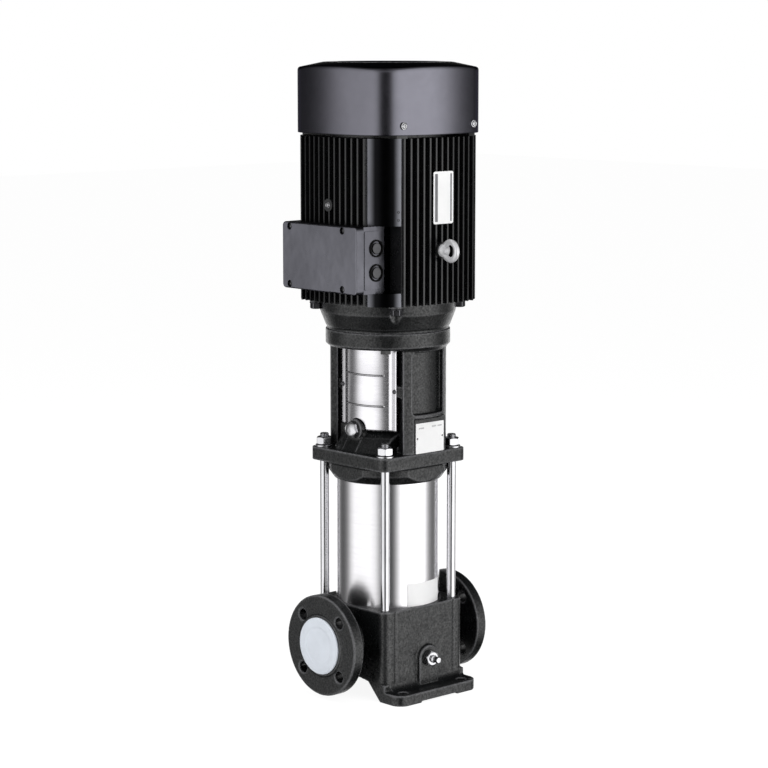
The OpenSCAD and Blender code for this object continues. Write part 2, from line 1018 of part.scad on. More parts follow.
module shaft_pin() {
    color(steel)
    translate([-pin_half, 0, pin_height])
        rotate([0, 90, 0])
            cylinder(r = pin_radius, h = 2 * pin_half);
}

// Motor stool
module wedge(start, end, radius) {
    middle = (start + end) / 2;
    polygon([[0, 0], [radius * cos(start), radius * sin(start)],
        [radius * cos(middle), radius * sin(middle)], [radius * cos(end), radius * sin(end)]]);
}

module stool_leg() {
    difference() {
        union() {
            intersection() {
                tube(stool_radius, stool_inner, plate_top, ring_bottom + eps);
                translate([0, 0, plate_top])
                    linear_extrude(ring_bottom - plate_top + eps)
                        wedge(leg_start, leg_end, 2 * stool_radius);
            }
            // Flanges along both sides of the leg
            for (a = leg_flange_starts)
                intersection() {
                    tube(stool_inner + 1, leg_flange_inner, plate_top, ring_bottom + eps);
                    translate([0, 0, plate_top])
                        linear_extrude(ring_bottom - plate_top + eps)
                            wedge(a, a + leg_flange_angle, 2 * stool_radius);
                }
            box([-stool_panel_offset - pocket_half, stool_inner + 1, plate_top],
                [-stool_panel_offset + pocket_half, panel_face, panel_top]);
            // Inner foot that takes the two screws into the head
            intersection() {
                disc(stool_radius - 2, plate_top, plate_top + stool_foot_height);
                box([-stool_foot_half, stool_foot_y, plate_top],
                    [stool_foot_half, stool_radius, plate_top + stool_foot_height]);
            }
            // Lugs behind the guard strips
            for (s = [-1, 1])
                box([min(s * guard_plane, s * (guard_plane - lug_depth)), guard_screw_y - 6,
                        guard_screw_z - lug_half],
                    [max(s * guard_plane, s * (guard_plane - lug_depth)), stool_inner - 2,
                        guard_screw_z + lug_half]);
        }
        // Flat panel below the pocket
        box([-stool_panel_offset - pocket_half, panel_face, plate_top - eps],
            [-stool_panel_offset + pocket_half, 2 * panel_face, panel_top]);
        // Pocket in the outer face
        difference() {
            translate([-pocket_offset, stool_radius + 2, (pocket_bottom + pocket_top) / 2])
                rotate([90, 0, 0])
                    linear_extrude(stool_radius - pocket_radius + 12)
                        rounded_rectangle(2 * pocket_half, pocket_top - pocket_bottom, pocket_corner);
            disc(pocket_radius, pocket_bottom - eps, ring_bottom + eps);
        }
        for (s = [-1, 1])
            translate([s * stool_screw_x, stool_screw_y, 0])
                disc(stool_screw_radius, plate_top - eps, plate_top + stool_foot_height + eps);
        for (s = [-1, 1])
            translate([s * (guard_plane + eps), guard_screw_y, guard_screw_z])
                rotate([0, -s * 90, 0])
                    cylinder(r = guard_screw_radius, h = lug_depth);
    }
}

module motor_stool() {
    color(black)
    difference() {
        union() {
            stool_leg();
            rotate(180)
                stool_leg();
            disc(ring_radius - 3, ring_bottom, ring_bottom + 3);
            disc(ring_radius, ring_bottom + 3, ring_top);
        }
        disc(ring_inner, ring_bottom - eps, ring_top + eps);
        disc(spigot_hole_radius, ring_top - spigot_height, ring_top + eps);
        for (i = [0:3])
            rotate(45 + 90 * i)
                translate([ring_bolt_circle / 2, 0, 0])
                    disc(ring_bolt_radius, ring_bottom - eps, ring_top + eps);
    }
}

module stool_screws() {
    color(dark_steel)
    at_four_corners(stool_screw_x, stool_screw_y)
        translate([0, 0, plate_top + stool_foot_height])
            screw(stool_screw_radius, stool_foot_height + stool_screw_depth - 1, stool_screw_head,
                stool_screw_head_height);
}

module ring_bolts() {
    color([0.08, 0.08, 0.08])
    for (i = [0:3])
        rotate(45 + 90 * i)
            translate([ring_bolt_circle / 2, 0, ring_bottom])
                mirror([0, 0, 1])
                    hex_screw(ring_bolt_radius, ring_top - ring_bottom + 8, ring_bolt_hex, ring_bolt_head);
}

// Guards
module guard() {
    difference() {
        union() {
            for (s = [-1, 1])
                box([guard_plane, min(s * guard_bulge_edge, s * guard_edge), guard_bottom],
                    [guard_plane + guard_sheet, max(s * guard_bulge_edge, s * guard_edge), ring_bottom]);
            intersection() {
                union() {
                    tube(guard_radius, guard_radius - guard_sheet, guard_bottom, ring_bottom);
                    for (z = guard_beads)
                        tube(guard_radius + guard_bead, guard_radius - guard_sheet, z - 1.5, z + 1.5);
                }
                box([guard_plane, -guard_radius, guard_bottom], [2 * guard_radius, guard_radius, ring_bottom]);
            }
        }
        // Arch over the priming boss
        box([guard_plane + 3, -guard_notch_radius, guard_bottom - eps],
            [2 * guard_radius, guard_notch_radius, priming_height]);
        translate([guard_plane + 3, 0, priming_height])
            rotate([0, 90, 0])
                cylinder(r = guard_notch_radius, h = guard_radius);
        for (s = [-1, 1])
            translate([guard_plane - eps, s * guard_screw_y, guard_screw_z])
                rotate([0, 90, 0])
                    cylinder(r = guard_screw_radius, h = 4);
    }
}

module guard_outlet_side() {
    color(steel)
        guard();
}

module guard_inlet_side() {
    color(steel)
    rotate(180)
        guard();
}

module guard_screws() {
    color(steel)
    for (s = [-1, 1])
        for (t = [-1, 1])
            translate([t * (guard_plane + guard_sheet), s * guard_screw_y, guard_screw_z])
                rotate([0, t * 90, 0])
                    screw(guard_screw_radius, 8, guard_screw_head, 2.4);
}

// Motor
module at_shield_bolts() {
    for (i = [0:3])
        rotate(shield_bolt_turn + 90 * i)
            translate([shield_bolt_circle / 2, 0, 0])
                children();
}

module drive_end_shield() {
    hole = motor_shaft_diameter / 2 + shaft_clearance;
    color(black)
    difference() {
        union() {
            rotate_extrude()
                polygon([[hole, ring_top - spigot_height], [spigot_hole_radius, ring_top - spigot_height],
                    [spigot_hole_radius, ring_top], [shield_flange_radius, ring_top],
                    [shield_flange_radius, shield_cone_bottom],
                    [shield_flange_radius + 1.8, shield_cone_bottom + 1],
                    [shield_radius, shield_cone_top], [shield_radius, frame_bottom],
                    [frame_bore, frame_bottom], [frame_bore, frame_bottom + spigot_in_frame],
                    [frame_bore - spigot_wall, frame_bottom + spigot_in_frame],
                    [frame_bore - spigot_wall, shield_cone_top], [frame_bore - 13, shield_web_top],
                    [shield_hub_radius, shield_web_top],
                    [shield_hub_radius, lower_bearing + bearing_width + 1],
                    [bearing_outer, lower_bearing + bearing_width + 1], [bearing_outer, lower_bearing],
                    [hole, lower_bearing]]);
            at_shield_bolts()
                disc(shield_lug_radius, frame_bottom - shield_lug_height, frame_bottom);
        }
        at_shield_bolts()
            disc(shield_bolt_radius, frame_bottom - 30, frame_bottom + eps);
        at_shield_bolts()
            disc(shield_bolt_hex / cos(30) / 2 + 1, frame_bottom - shield_lug_height - 30,
                frame_bottom - shield_lug_height);
        for (i = [0:3])
            rotate(45 + 90 * i)
                translate([ring_bolt_circle / 2, 0, 0])
                    disc(ring_bolt_radius + screw_clearance, ring_top - eps, ring_top + 9);
    }
}

module shield_bolts() {
    color([0.1, 0.1, 0.1])
    at_shield_bolts()
        translate([0, 0, frame_bottom - shield_lug_height])
            mirror([0, 0, 1])
                hex_screw(shield_bolt_radius, shield_lug_height + shield_bolt_depth, shield_bolt_hex,
                    shield_bolt_head);
}

module corner_region(start) {
    for (i = [-1, 1])
        for (j = [-1, 1])
            translate([i * (start + frame_diagonal) / 2, j * (start + frame_diagonal) / 2])
                square(frame_diagonal - start, center = true);
}

module frame_section() {
    difference() {
        union() {
            circle(r = shell_radius);
            intersection() {
                rounded_rectangle(2 * frame_half, 2 * frame_half, frame_corner);
                corner_region(corner_start);
            }
            // The fin tips follow a shallow arch
            for (q = [0:3])
                rotate(90 * q)
                    intersection() {
                        translate([0, frame_face - fin_arch])
                            circle(r = fin_arch);
                        for (i = [0:fins - 1])
                            translate([(i - (fins - 1) / 2) * fin_pitch - fin_thickness / 2, shell_radius / 2])
                                square([fin_thickness, frame_face]);
                    }
        }
        circle(r = frame_bore);
        intersection() {
            rounded_rectangle(2 * (frame_half - frame_wall), 2 * (frame_half - frame_wall),
                frame_corner - frame_wall);
            corner_region(corner_start + frame_wall);
        }
    }
}

module frame_corners(height) {
    translate([0, 0, frame_bottom])
        linear_extrude(height)
            intersection() {
                rounded_rectangle(2 * frame_half - 2, 2 * frame_half - 2, frame_corner - 1);
                corner_region(corner_start + 1);
            }
}

module terminal_box_outline() {
    difference() {
        box([-box_reach + lid_depth, -box_front, box_low], [-box_back, box_front, box_high]);
        disc(shell_radius, box_low - eps, box_high + eps);
    }
}

module motor_frame() {
    color(black)
    difference() {
        union() {
            translate([0, 0, frame_bottom])
                linear_extrude(frame_top - frame_bottom)
                    frame_section();
            // The corner channels are closed at the lower end and beside the terminal box
            frame_corners(corner_closing);
            intersection() {
                frame_corners(box_high - frame_bottom + frame_wall);
                box([-frame_diagonal, -frame_diagonal, 0], [0, frame_diagonal, frame_top]);
            }
            at_shield_bolts()
                disc(shield_bolt_radius + 4, frame_bottom, frame_bottom + shield_bolt_depth + 4);
            on_front(0, -shell_radius + 6, eye_z)
                cylinder(r = eye_boss_radius, h = eye_seat - shell_radius + 6);
            on_left(-shell_radius + 6, earth_y, earth_z)
                cylinder(r = earth_boss_radius, h = earth_boss_face - shell_radius + 6);
        }
        terminal_box_outline();
        // Room for cable glands beside the terminal box
        for (s = [-1, 1]) {
            box([-2 * box_reach, min(s * box_front, s * 2 * box_front), box_low],
                [-notch_depth, max(s * box_front, s * 2 * box_front), box_high]);
            box([-2 * box_reach, min(s * (box_front - box_wall), s * 2 * box_front), box_low],
                [-box_back, max(s * (box_front - box_wall), s * 2 * box_front), box_high]);
        }
        at_shield_bolts()
            disc(shield_bolt_radius, frame_bottom - eps, frame_bottom + shield_bolt_depth);
        on_front(0, -eye_seat + eye_shank_length, eye_z)
            cylinder(r = eye_shank_radius + screw_clearance, h = eye_shank_length + eps);
        on_left(-earth_boss_face + 9, earth_y, earth_z)
            cylinder(r = earth_screw_radius + screw_clearance, h = 9 + eps);
        on_left(-frame_bore + 6, 0, cable_hole_z)
            cylinder(r = cable_hole_radius, h = 30);
    }
}

module stator_core() {
    color([0.4, 0.4, 0.42])
    difference() {
        tube(frame_bore, core_bore, core_bottom, core_top);
        for (i = [0:slots - 1])
            rotate(360 / slots * i)
                box([core_bore - 4, -slot_width / 2, core_bottom - eps],
                    [slot_end, slot_width / 2, core_top + eps]);
    }
}

module stator_windings() {
    bar = slot_width / 2 - coil_gap;
    color([0.62, 0.32, 0.14]) {
        tube(coil_outer, coil_inner, core_bottom - coil_overhang, core_bottom - 1);
        tube(coil_outer, coil_inner, core_top + 1, core_top + coil_overhang);
        for (i = [0:slots - 1])
            rotate(360 / slots * i)
                box([coil_inner + 1, -bar, core_bottom - 4], [slot_end - coil_gap, bar, core_top + 4]);
    }
}

module rotor_core() {
    color([0.55, 0.56, 0.58]) {
        tube(core_bore - air_gap, rotor_shaft_radius, core_bottom, core_top);
        tube(core_bore - 3, rotor_shaft_radius + 8,
            core_bottom - end_ring_height, core_top + end_ring_height);
    }
}

module motor_shaft() {
    drive = motor_shaft_diameter / 2;
    color(steel) {
        disc(drive, pump_shaft_top + 6, lower_bearing + 1);
        disc(bearing_bore, lower_bearing, upper_bearing + bearing_width);
        disc(race_inner_outer - 3, lower_bearing + bearing_width, upper_bearing);
        disc(rotor_shaft_radius, core_bottom, core_top);
        disc(fan_shaft_radius, upper_bearing + bearing_width - 1, fan_shaft_top);
    }
}

module bearing_outer_races() {
    color(steel)
    for (z = [lower_bearing, upper_bearing])
        tube(bearing_outer, race_outer_inner, z, z + bearing_width);
}

module bearing_balls() {
    pitch = (race_outer_inner + race_inner_outer) / 2;
    color(dark_steel)
    for (z = [lower_bearing, upper_bearing]) {
        tube(pitch + 1, pitch - 1, z + bearing_width / 2 - 1.5, z + bearing_width / 2 + 1.5);
        for (i = [0:balls - 1])
            rotate(360 / balls * i)
                translate([pitch, 0, z + bearing_width / 2])
                    sphere(r = ball_radius);
    }
}

module bearing_inner_races() {
    color(steel)
    for (z = [lower_bearing, upper_bearing])
        tube(race_inner_outer, bearing_bore, z, z + bearing_width);
}

module rear_end_shield() {
    hole = fan_shaft_radius + shaft_clearance;
    top = frame_top + shield_disc_height;
    color(black) {
        rotate_extrude()
            polygon([[hole, top], [shield_disc_radius, top], [shield_disc_radius, frame_top],
                [frame_bore, frame_top], [frame_bore, frame_top - spigot_in_frame],
                [frame_bore - spigot_wall, frame_top - spigot_in_frame],
                [frame_bore - spigot_wall, frame_top - 2],
                [shield_hub_radius, frame_top - 2], [shield_hub_radius, upper_bearing - 1],
                [bearing_outer, upper_bearing - 1], [bearing_outer, frame_top], [hole, frame_top]]);
        difference() {
            // Four tabs that follow the inside of the cowl
            intersection() {
                cowl_body(cowl_wall + tab_gap);
                for (x = [-cowl_screw_x, cowl_screw_x])
                    box([x - cowl_tab_half, -cowl_face, frame_top],
                        [x + cowl_tab_half, cowl_face, cowl_screw_z + cowl_tab_half]);
            }
            box([-cowl_face, -tab_inner, top], [cowl_face, tab_inner, cowl_screw_z + cowl_tab_half + eps]);
            for (t = [-1, 1])
                translate([t * cowl_screw_x, 2 * cowl_face, cowl_screw_z])
                    rotate([90, 0, 0])
                        cylinder(r = cowl_screw_radius, h = 4 * cowl_face);
        }
    }
}

module cooling_fan() {
    fan_low = frame_top + fan_rise;
    fan_radius = 95;
    hub_radius = 23;
    blade_height = 50;
    blades = 8;
    color([0.15, 0.15, 0.16]) {
        tube(hub_radius, fan_shaft_radius, fan_low, fan_low + fan_hub_height);
        tube(fan_radius - 5, hub_radius - 3, fan_low + 5, fan_low + 8);
        for (i = [0:blades - 1])
            rotate(360 / blades * i)
                box([hub_radius - 3, -1.5, fan_low + 7], [fan_radius, 1.5, fan_low + blade_height]);
    }
}

module cowl_body(inset) {
    intersection() {
        translate([0, 0, cowl_bottom - 2 * inset])
            linear_extrude(overall_height - cowl_bottom + inset)
                squircle(cowl_face - inset, cowl_diagonal - inset, cowl_corner - inset);
        union() {
            disc(2 * cowl_diagonal, cowl_bottom - 5, cowl_shoulder - inset);
            translate([0, 0, cowl_shoulder - inset])
                cylinder(r1 = cowl_diagonal + 0.2, r2 = cowl_flat_radius, h = overall_height - cowl_shoulder);
        }
    }
}

module fan_cowl() {
    pitch = grille_radius / grille_rings;
    color(black) {
        difference() {
            cowl_body(0);
            cowl_body(cowl_wall);
            disc(grille_radius, cowl_shoulder, overall_height + eps);
            for (t = [-1, 1])
                translate([t * cowl_screw_x, 2 * cowl_face, cowl_screw_z])
                    rotate([90, 0, 0])
                        cylinder(r = cowl_screw_radius + screw_clearance, h = 4 * cowl_face);
        }
        for (i = [1:grille_rings - 1])
            tube(i * pitch + (pitch - grille_gap) / 2, i * pitch - (pitch - grille_gap) / 2,
                overall_height - cowl_wall, overall_height);
        disc(pitch / 2, overall_height - cowl_wall, overall_height);
        for (i = [0:grille_spokes / 2 - 1])
            rotate(360 / grille_spokes * i)
                box([-grille_radius - 1, -spoke_width / 2, overall_height - cowl_wall],
                    [grille_radius + 1, spoke_width / 2, overall_height]);
    }
}

module cowl_screws() {
    color(steel)
    for (s = [0, 180])
        rotate(s)
            for (t = [-1, 1])
                on_front(t * cowl_screw_x, -cowl_seat, cowl_screw_z) {
                    translate([0, 0, -10])
                        cylinder(r = cowl_screw_radius, h = 11);
                    disc(cowl_screw_head, 0, 3);
                }
}

// Terminal box
module at_lid_screws() {
    for (y = lid_screw_y)
        for (z = [box_low + lid_screw_inset, box_high - lid_screw_inset])
            translate([-box_reach, y, z])
                rotate([0, 90, 0])
                    children();
}

module terminal_box() {
    front = -box_reach + lid_depth;
    color([0.12, 0.12, 0.13])
    difference() {
        union() {
            difference() {
                terminal_box_outline();
                box([front - eps, -box_front + box_wall, box_low + box_wall],
                    [-box_floor, box_front - box_wall, box_high - box_wall]);
                for (s = [-1, 1])
                    box([front - eps, min(s * pocket_start, s * (box_front - box_wall)), box_low + box_wall],
                        [-pocket_floor, max(s * pocket_start, s * (box_front - box_wall)), box_high - box_wall]);
            }
            // Corner posts for the lid screws
            intersection() {
                terminal_box_outline();
                at_lid_screws()
                    disc(lid_screw_recess, lid_depth, box_reach - box_back);
            }
        }
        at_lid_screws()
            disc(lid_screw_radius, lid_depth - eps, lid_depth + 14);
        for (z = entry_levels)
            on_front(-entry_x, -box_front + 2 * box_wall, z)
                cylinder(r = entry_radius, h = 3 * box_wall);
        on_left(-frame_bore, 0, cable_hole_z)
            cylinder(r = cable_hole_radius, h = 20);
    }
}

module terminal_lid() {
    front = -box_reach + lid_depth - open_gap;
    color([0.16, 0.16, 0.17])
    difference() {
        translate([-box_reach, 0, (box_low + box_high) / 2])
            rotate([90, 0, 90])
                linear_extrude(lid_depth - open_gap)
                    rounded_rectangle(box_length + 1, box_height + 1, lid_corner);
        difference() {
            box([-box_reach + lid_wall, -box_front + box_wall, box_low + box_wall],
                [front + eps, box_front - box_wall, box_high - box_wall]);
            at_lid_screws()
                disc(lid_screw_recess + 2, 0, lid_depth);
        }
        at_lid_screws()
            disc(lid_screw_recess, -eps, lid_screw_recess_depth);
        at_lid_screws()
            disc(lid_screw_radius, -eps, lid_depth + eps);
    }
}

module lid_screws() {
    color([0.2, 0.2, 0.21])
    at_lid_screws() {
        disc(lid_screw_head, lid_screw_recess_depth - 3, lid_screw_recess_depth);
        disc(lid_screw_radius - running_gap, lid_screw_recess_depth - 1, lid_depth + 10);
    }
}

module terminal_block() {
    color([0.75, 0.7, 0.55])
        box([-box_floor - block_height, -block_half, block_low], [-box_floor, block_half, block_high]);
    color([0.8, 0.6, 0.25])
    for (i = [-1, 0, 1])
        for (z = [block_low + 11, block_high - 11])
            on_left(-box_floor - block_height, i * 20, z)
                translate([0, 0, -eps])
                    cylinder(r = stud_radius, h = 7);
}

module blanking_plugs() {
    color([0.1, 0.1, 0.1])
    for (z = entry_levels)
        on_front(-entry_x, -box_front, z)
            difference() {
                union() {
                    translate([0, 0, -box_wall])
                        cylinder(r = entry_radius, h = box_wall + 0.5);
                    cylinder(r = entry_flange, h = 3);
                }
                tube(11.5, 9, 1, 4);
            }
}

// Trim
module label_plates() {
    color([0.95, 0.95, 0.95]) {
        box([motor_label_offset - motor_label_width / 2, -frame_face - label_gap - label_thickness,
                motor_label_low],
            [motor_label_offset + motor_label_width / 2, -frame_face - label_gap, motor_label_high]);
        box([stool_panel_offset - stool_label_width / 2, -panel_face - label_gap - label_thickness,
                stool_label_low],
            [stool_panel_offset + stool_label_width / 2, -panel_face - label_gap, stool_label_high]);
        intersection() {
            tube(sleeve_radius + label_gap + label_thickness, sleeve_radius + label_gap, sleeve_label_low,
                sleeve_label_high);
            translate([0, 0, sleeve_label_low])
                linear_extrude(sleeve_label_high - sleeve_label_low)
                    rotate(-90 + panel_offset)
                        wedge(-sleeve_label_angle, sleeve_label_angle, 2 * sleeve_radius);
        }
    }
}

module lifting_eye() {
    color(steel) {
        on_front(0, -eye_seat, eye_z) {
            translate([0, 0, -eye_shank_length])
                cylinder(r = eye_shank_radius, h = eye_shank_length + 1);
            cylinder(r = eye_collar_radius, h = 5);
            translate([0, 0, 4])
                cylinder(r1 = eye_collar_radius - 1, r2 = 5, h = 4);
        }
        translate([0, -eye_ring_y, eye_z])
            rotate([0, 90, 0])
                rotate_extrude()
                    translate([eye_ring_major, 0])
                        circle(r = eye_ring_minor);
    }
}

module earth_screw() {
    color(steel)
    on_left(-earth_boss_face, earth_y, earth_z)
        screw(earth_screw_radius, 8, earth_screw_head, 3);
}

base_casing();
drain_plug();
drain_screw();
plug_washers();
inlet_cap();
outlet_cap();
outer_sleeve();
sleeve_seals();
inlet_guide();
stage_chambers();
neck_rings();
top_chamber();
impellers();
impeller_spacers();
pump_shaft();
shaft_nut();
pump_head();
priming_plug();
tie_rods();
rod_nuts();
rod_washers();
seal_gland();
gland_screws();
seal_seat();
seal_ring();
seal_bellows();
seal_collar();
coupling_front();
coupling_rear();
coupling_screws();
shaft_pin();
motor_stool();
stool_screws();
ring_bolts();
guard_inlet_side();
guard_outlet_side();
guard_screws();
drive_end_shield();
shield_bolts();
motor_frame();
stator_core();
stator_windings();
rotor_core();
motor_shaft();
bearing_outer_races();
bearing_balls();
bearing_inner_races();
rear_end_shield();
cooling_fan();
fan_cowl();
cowl_screws();
terminal_box();
terminal_lid();
lid_screws();
terminal_block();
blanking_plugs();
label_plates();
lifting_eye();
earth_screw();
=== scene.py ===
import json
import math

import bmesh
import bpy
from mathutils import Matrix, Vector


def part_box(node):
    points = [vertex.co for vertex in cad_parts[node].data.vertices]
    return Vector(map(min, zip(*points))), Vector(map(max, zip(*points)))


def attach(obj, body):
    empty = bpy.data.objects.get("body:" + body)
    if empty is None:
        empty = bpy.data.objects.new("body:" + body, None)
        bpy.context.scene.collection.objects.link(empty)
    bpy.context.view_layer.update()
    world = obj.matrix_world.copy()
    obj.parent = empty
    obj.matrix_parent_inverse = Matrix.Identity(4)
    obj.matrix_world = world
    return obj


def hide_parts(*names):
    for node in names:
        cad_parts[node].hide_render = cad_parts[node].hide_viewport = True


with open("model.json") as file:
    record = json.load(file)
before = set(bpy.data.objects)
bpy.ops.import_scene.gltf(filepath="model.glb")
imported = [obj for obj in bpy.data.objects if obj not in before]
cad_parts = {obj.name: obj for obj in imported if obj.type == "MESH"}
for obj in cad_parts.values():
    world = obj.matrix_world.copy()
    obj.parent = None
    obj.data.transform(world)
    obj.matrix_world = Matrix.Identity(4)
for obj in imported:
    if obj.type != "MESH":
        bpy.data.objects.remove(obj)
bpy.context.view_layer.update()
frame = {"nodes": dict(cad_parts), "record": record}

# Shapes are written in millimetres, the camera, the floor and the lamps in metres
MM = 0.001
nodes = frame["nodes"]
body_of_node = {n: b for b, members in frame["record"]["behaviour"]["bodies"].items() for n in members}
scene = bpy.context.scene


# Camera
CAMERA_AZIMUTH = math.radians(-42.5)
CAMERA_ELEVATION = math.radians(8.36)
CAMERA_DISTANCE = 4.009
CAMERA_LENS = 114.8
SENSOR = 36
AIM_HEIGHT = 0.504
AIM_SHIFT = 0.0064


def bearing(azimuth, elevation):
    """The direction at these angles. Azimuth 0 is -Y and turns towards +X."""
    level = math.cos(elevation)
    return Vector((math.sin(azimuth) * level, -math.cos(azimuth) * level, math.sin(elevation)))


camera_back = bearing(CAMERA_AZIMUTH, CAMERA_ELEVATION)
camera_right = Vector((math.cos(CAMERA_AZIMUTH), math.sin(CAMERA_AZIMUTH), 0))


def make_camera():
    data = bpy.data.cameras.new("camera")
    data.lens = CAMERA_LENS
    data.sensor_width = SENSOR
    data.clip_end = 100
    camera = bpy.data.objects.new("camera", data)
    scene.collection.objects.link(camera)
    aim = Vector((0, 0, AIM_HEIGHT)) - camera_right * AIM_SHIFT
    camera.location = aim + camera_back * CAMERA_DISTANCE
    camera.rotation_euler = camera_back.to_track_quat("Z", "Y").to_euler()
    scene.camera = camera


# Node graphs
class Graph:
    def __init__(self, tree):
        self.tree = tree
        tree.nodes.clear()

    def add(self, kind, inputs=None, **settings):
        node = self.tree.nodes.new(kind)
        for key, value in settings.items():
            setattr(node, key, value)
        for key, value in (inputs or {}).items():
            if isinstance(value, bpy.types.NodeSocket):
                self.tree.links.new(value, node.inputs[key])
            else:
                node.inputs[key].default_value = value
        return node

    def math(self, operation, *values):
        return self.add("ShaderNodeMath", dict(enumerate(values)), operation=operation).outputs[0]

    def vector_math(self, operation, *values, output=0):
        return self.add("ShaderNodeVectorMath", dict(enumerate(values)), operation=operation).outputs[output]

    def mix_shaders(self, share, first, second):
        return self.add("ShaderNodeMixShader", {0: share, 1: first, 2: second}).outputs[0]

    def blend(self, share, first, second, way="MIX"):
        node = self.add("ShaderNodeMix", {0: share, 6: first, 7: second}, data_type="RGBA", blend_type=way)
        return node.outputs[2]

    def ramp(self, value, stops, interpolation="LINEAR"):
        node = self.add("ShaderNodeValToRGB", {0: value})
        node.color_ramp.interpolation = interpolation
        elements = node.color_ramp.elements
        while len(elements) < len(stops):
            elements.new(1)
        for element, (place, level) in zip(elements, stops):
            element.position = place
            colour = level if isinstance(level, tuple) else (level, level, level)
            element.color = (*colour, 1)
        return node.outputs[0]

    def noise(self, vector, scale, detail, roughness):
        node = self.add("ShaderNodeTexNoise", {
            "Vector": vector, "Scale": scale, "Detail": detail, "Roughness": roughness})
        return node.outputs[0]


# World and lamps
AMBIENT = 0.4
# Brightness of the studio seen in gloss, by the angle in degrees from the camera around the vertical axis
STUDIO_BANDS = (
    (0, 0.04), (8, 0.06), (14, 0.2), (20, 0.7), (28, 1.35), (40, 1.66), (60, 1.7), (80, 1.7), (90, 1.2),
    (98, 0.55), (106, 0.26), (116, 0.14), (128, 0.16), (140, 0.6), (152, 1.3), (180, 1.4))
# The same above the horizon. It takes over up to this sine of the elevation
UPPER_BANDS = ((0, 0.35), (40, 1.3), (75, 1.2), (100, 0.3), (130, 0.06), (180, 0.04))
UPPER_START = 0.12
# Part of that brightness left towards the floor (-1) and the ceiling (1)
HEIGHT_SHARES = ((-1, 0.06), (-0.66, 0.1), (-0.42, 1), (0.3, 1), (0.6, 0.3), (1, 0.25))
# How much brighter the studio is on the right of the camera
RIGHT_GAIN = 0.22
WHITE = (1, 1, 1, 1)


def half_range(g, value):
    """Brings a value between -1 and 1 to between 0 and 1."""
    return g.math("MULTIPLY_ADD", value, 0.5, 0.5)


def band_ramp(g, cosine, bands):
    stops = sorted(((1 + math.cos(math.radians(angle))) / 2, level) for angle, level in bands)
    return g.ramp(half_range(g, cosine), stops)


def make_world():
    world = bpy.data.worlds.new("studio")
    scene.world = world
    world.use_nodes = True
    g = Graph(world.node_tree)
    direction = g.add("ShaderNodeTexCoord").outputs["Generated"]
    flat = g.vector_math("NORMALIZE", g.vector_math("MULTIPLY", direction, (1, 1, 0)))
    toward = tuple(Vector((camera_back.x, camera_back.y, 0)).normalized())
    cosine = g.vector_math("DOT_PRODUCT", flat, toward, output="Value")
    height = g.add("ShaderNodeSeparateXYZ", {0: direction}).outputs[2]
    up = g.ramp(height, ((0.0, 0.0), (UPPER_START, 1.0)), "EASE")
    studio = g.blend(up, band_ramp(g, cosine, STUDIO_BANDS), band_ramp(g, cosine, UPPER_BANDS))
    aside = g.vector_math("DOT_PRODUCT", flat, tuple(camera_right), output="Value")
    share = g.ramp(half_range(g, height), [((1 + z) / 2, level) for z, level in HEIGHT_SHARES])
    gain = g.math("MULTIPLY", g.math("MULTIPLY_ADD", aside, RIGHT_GAIN, 1.0), share)
    path = g.add("ShaderNodeLightPath")
    ambient = g.add("ShaderNodeBackground", {0: WHITE, 1: AMBIENT}).outputs[0]
    glossy = g.add("ShaderNodeBackground", {0: studio, 1: gain}).outputs[0]
    white = g.add("ShaderNodeBackground", {0: WHITE, 1: 1.0}).outputs[0]
    lit = g.mix_shaders(path.outputs["Is Glossy Ray"], ambient, glossy)
    clear = g.math("MAXIMUM", path.outputs["Is Camera Ray"], path.outputs["Is Transmission Ray"])
    g.add("ShaderNodeOutputWorld", {0: g.mix_shaders(clear, lit, white)})


# Name, azimuth from the camera and elevation in degrees, distance, width, height, power in watts
LAMPS = (
    ("left_softbox", -50, 22, 2.6, 0.9, 2.0, 30),
    ("right_softbox", 55, 18, 2.6, 0.7, 2.0, 22),
    ("top_softbox", 10, 70, 2.8, 1.6, 1.2, 26),
    ("back_left_strip", -140, 15, 2.6, 0.5, 2.0, 10),
    ("back_right_strip", 140, 15, 2.6, 0.5, 2.0, 10))


def make_lamps():
    for name, azimuth, elevation, distance, width, height, power in LAMPS:
        data = bpy.data.lights.new(name, "AREA")
        data.shape = "RECTANGLE"
        data.size = width
        data.size_y = height
        data.energy = power
        light = bpy.data.objects.new(name, data)
        # Gloss shows the world's bands alone
        light.visible_glossy = False
        scene.collection.objects.link(light)
        back = bearing(CAMERA_AZIMUTH + math.radians(azimuth), math.radians(elevation))
        light.location = Vector((0, 0, AIM_HEIGHT)) + back * distance
        light.rotation_euler = back.to_track_quat("Z", "Y").to_euler()


FLOOR_REACH = 12
FLOOR_COLOUR = (0.9, 0.9, 0.9, 1)
# Share of plain white in the floor as the camera sees it, and its strength
FLOOR_WHITENESS = 0.8
FLOOR_GLOW = 1.14


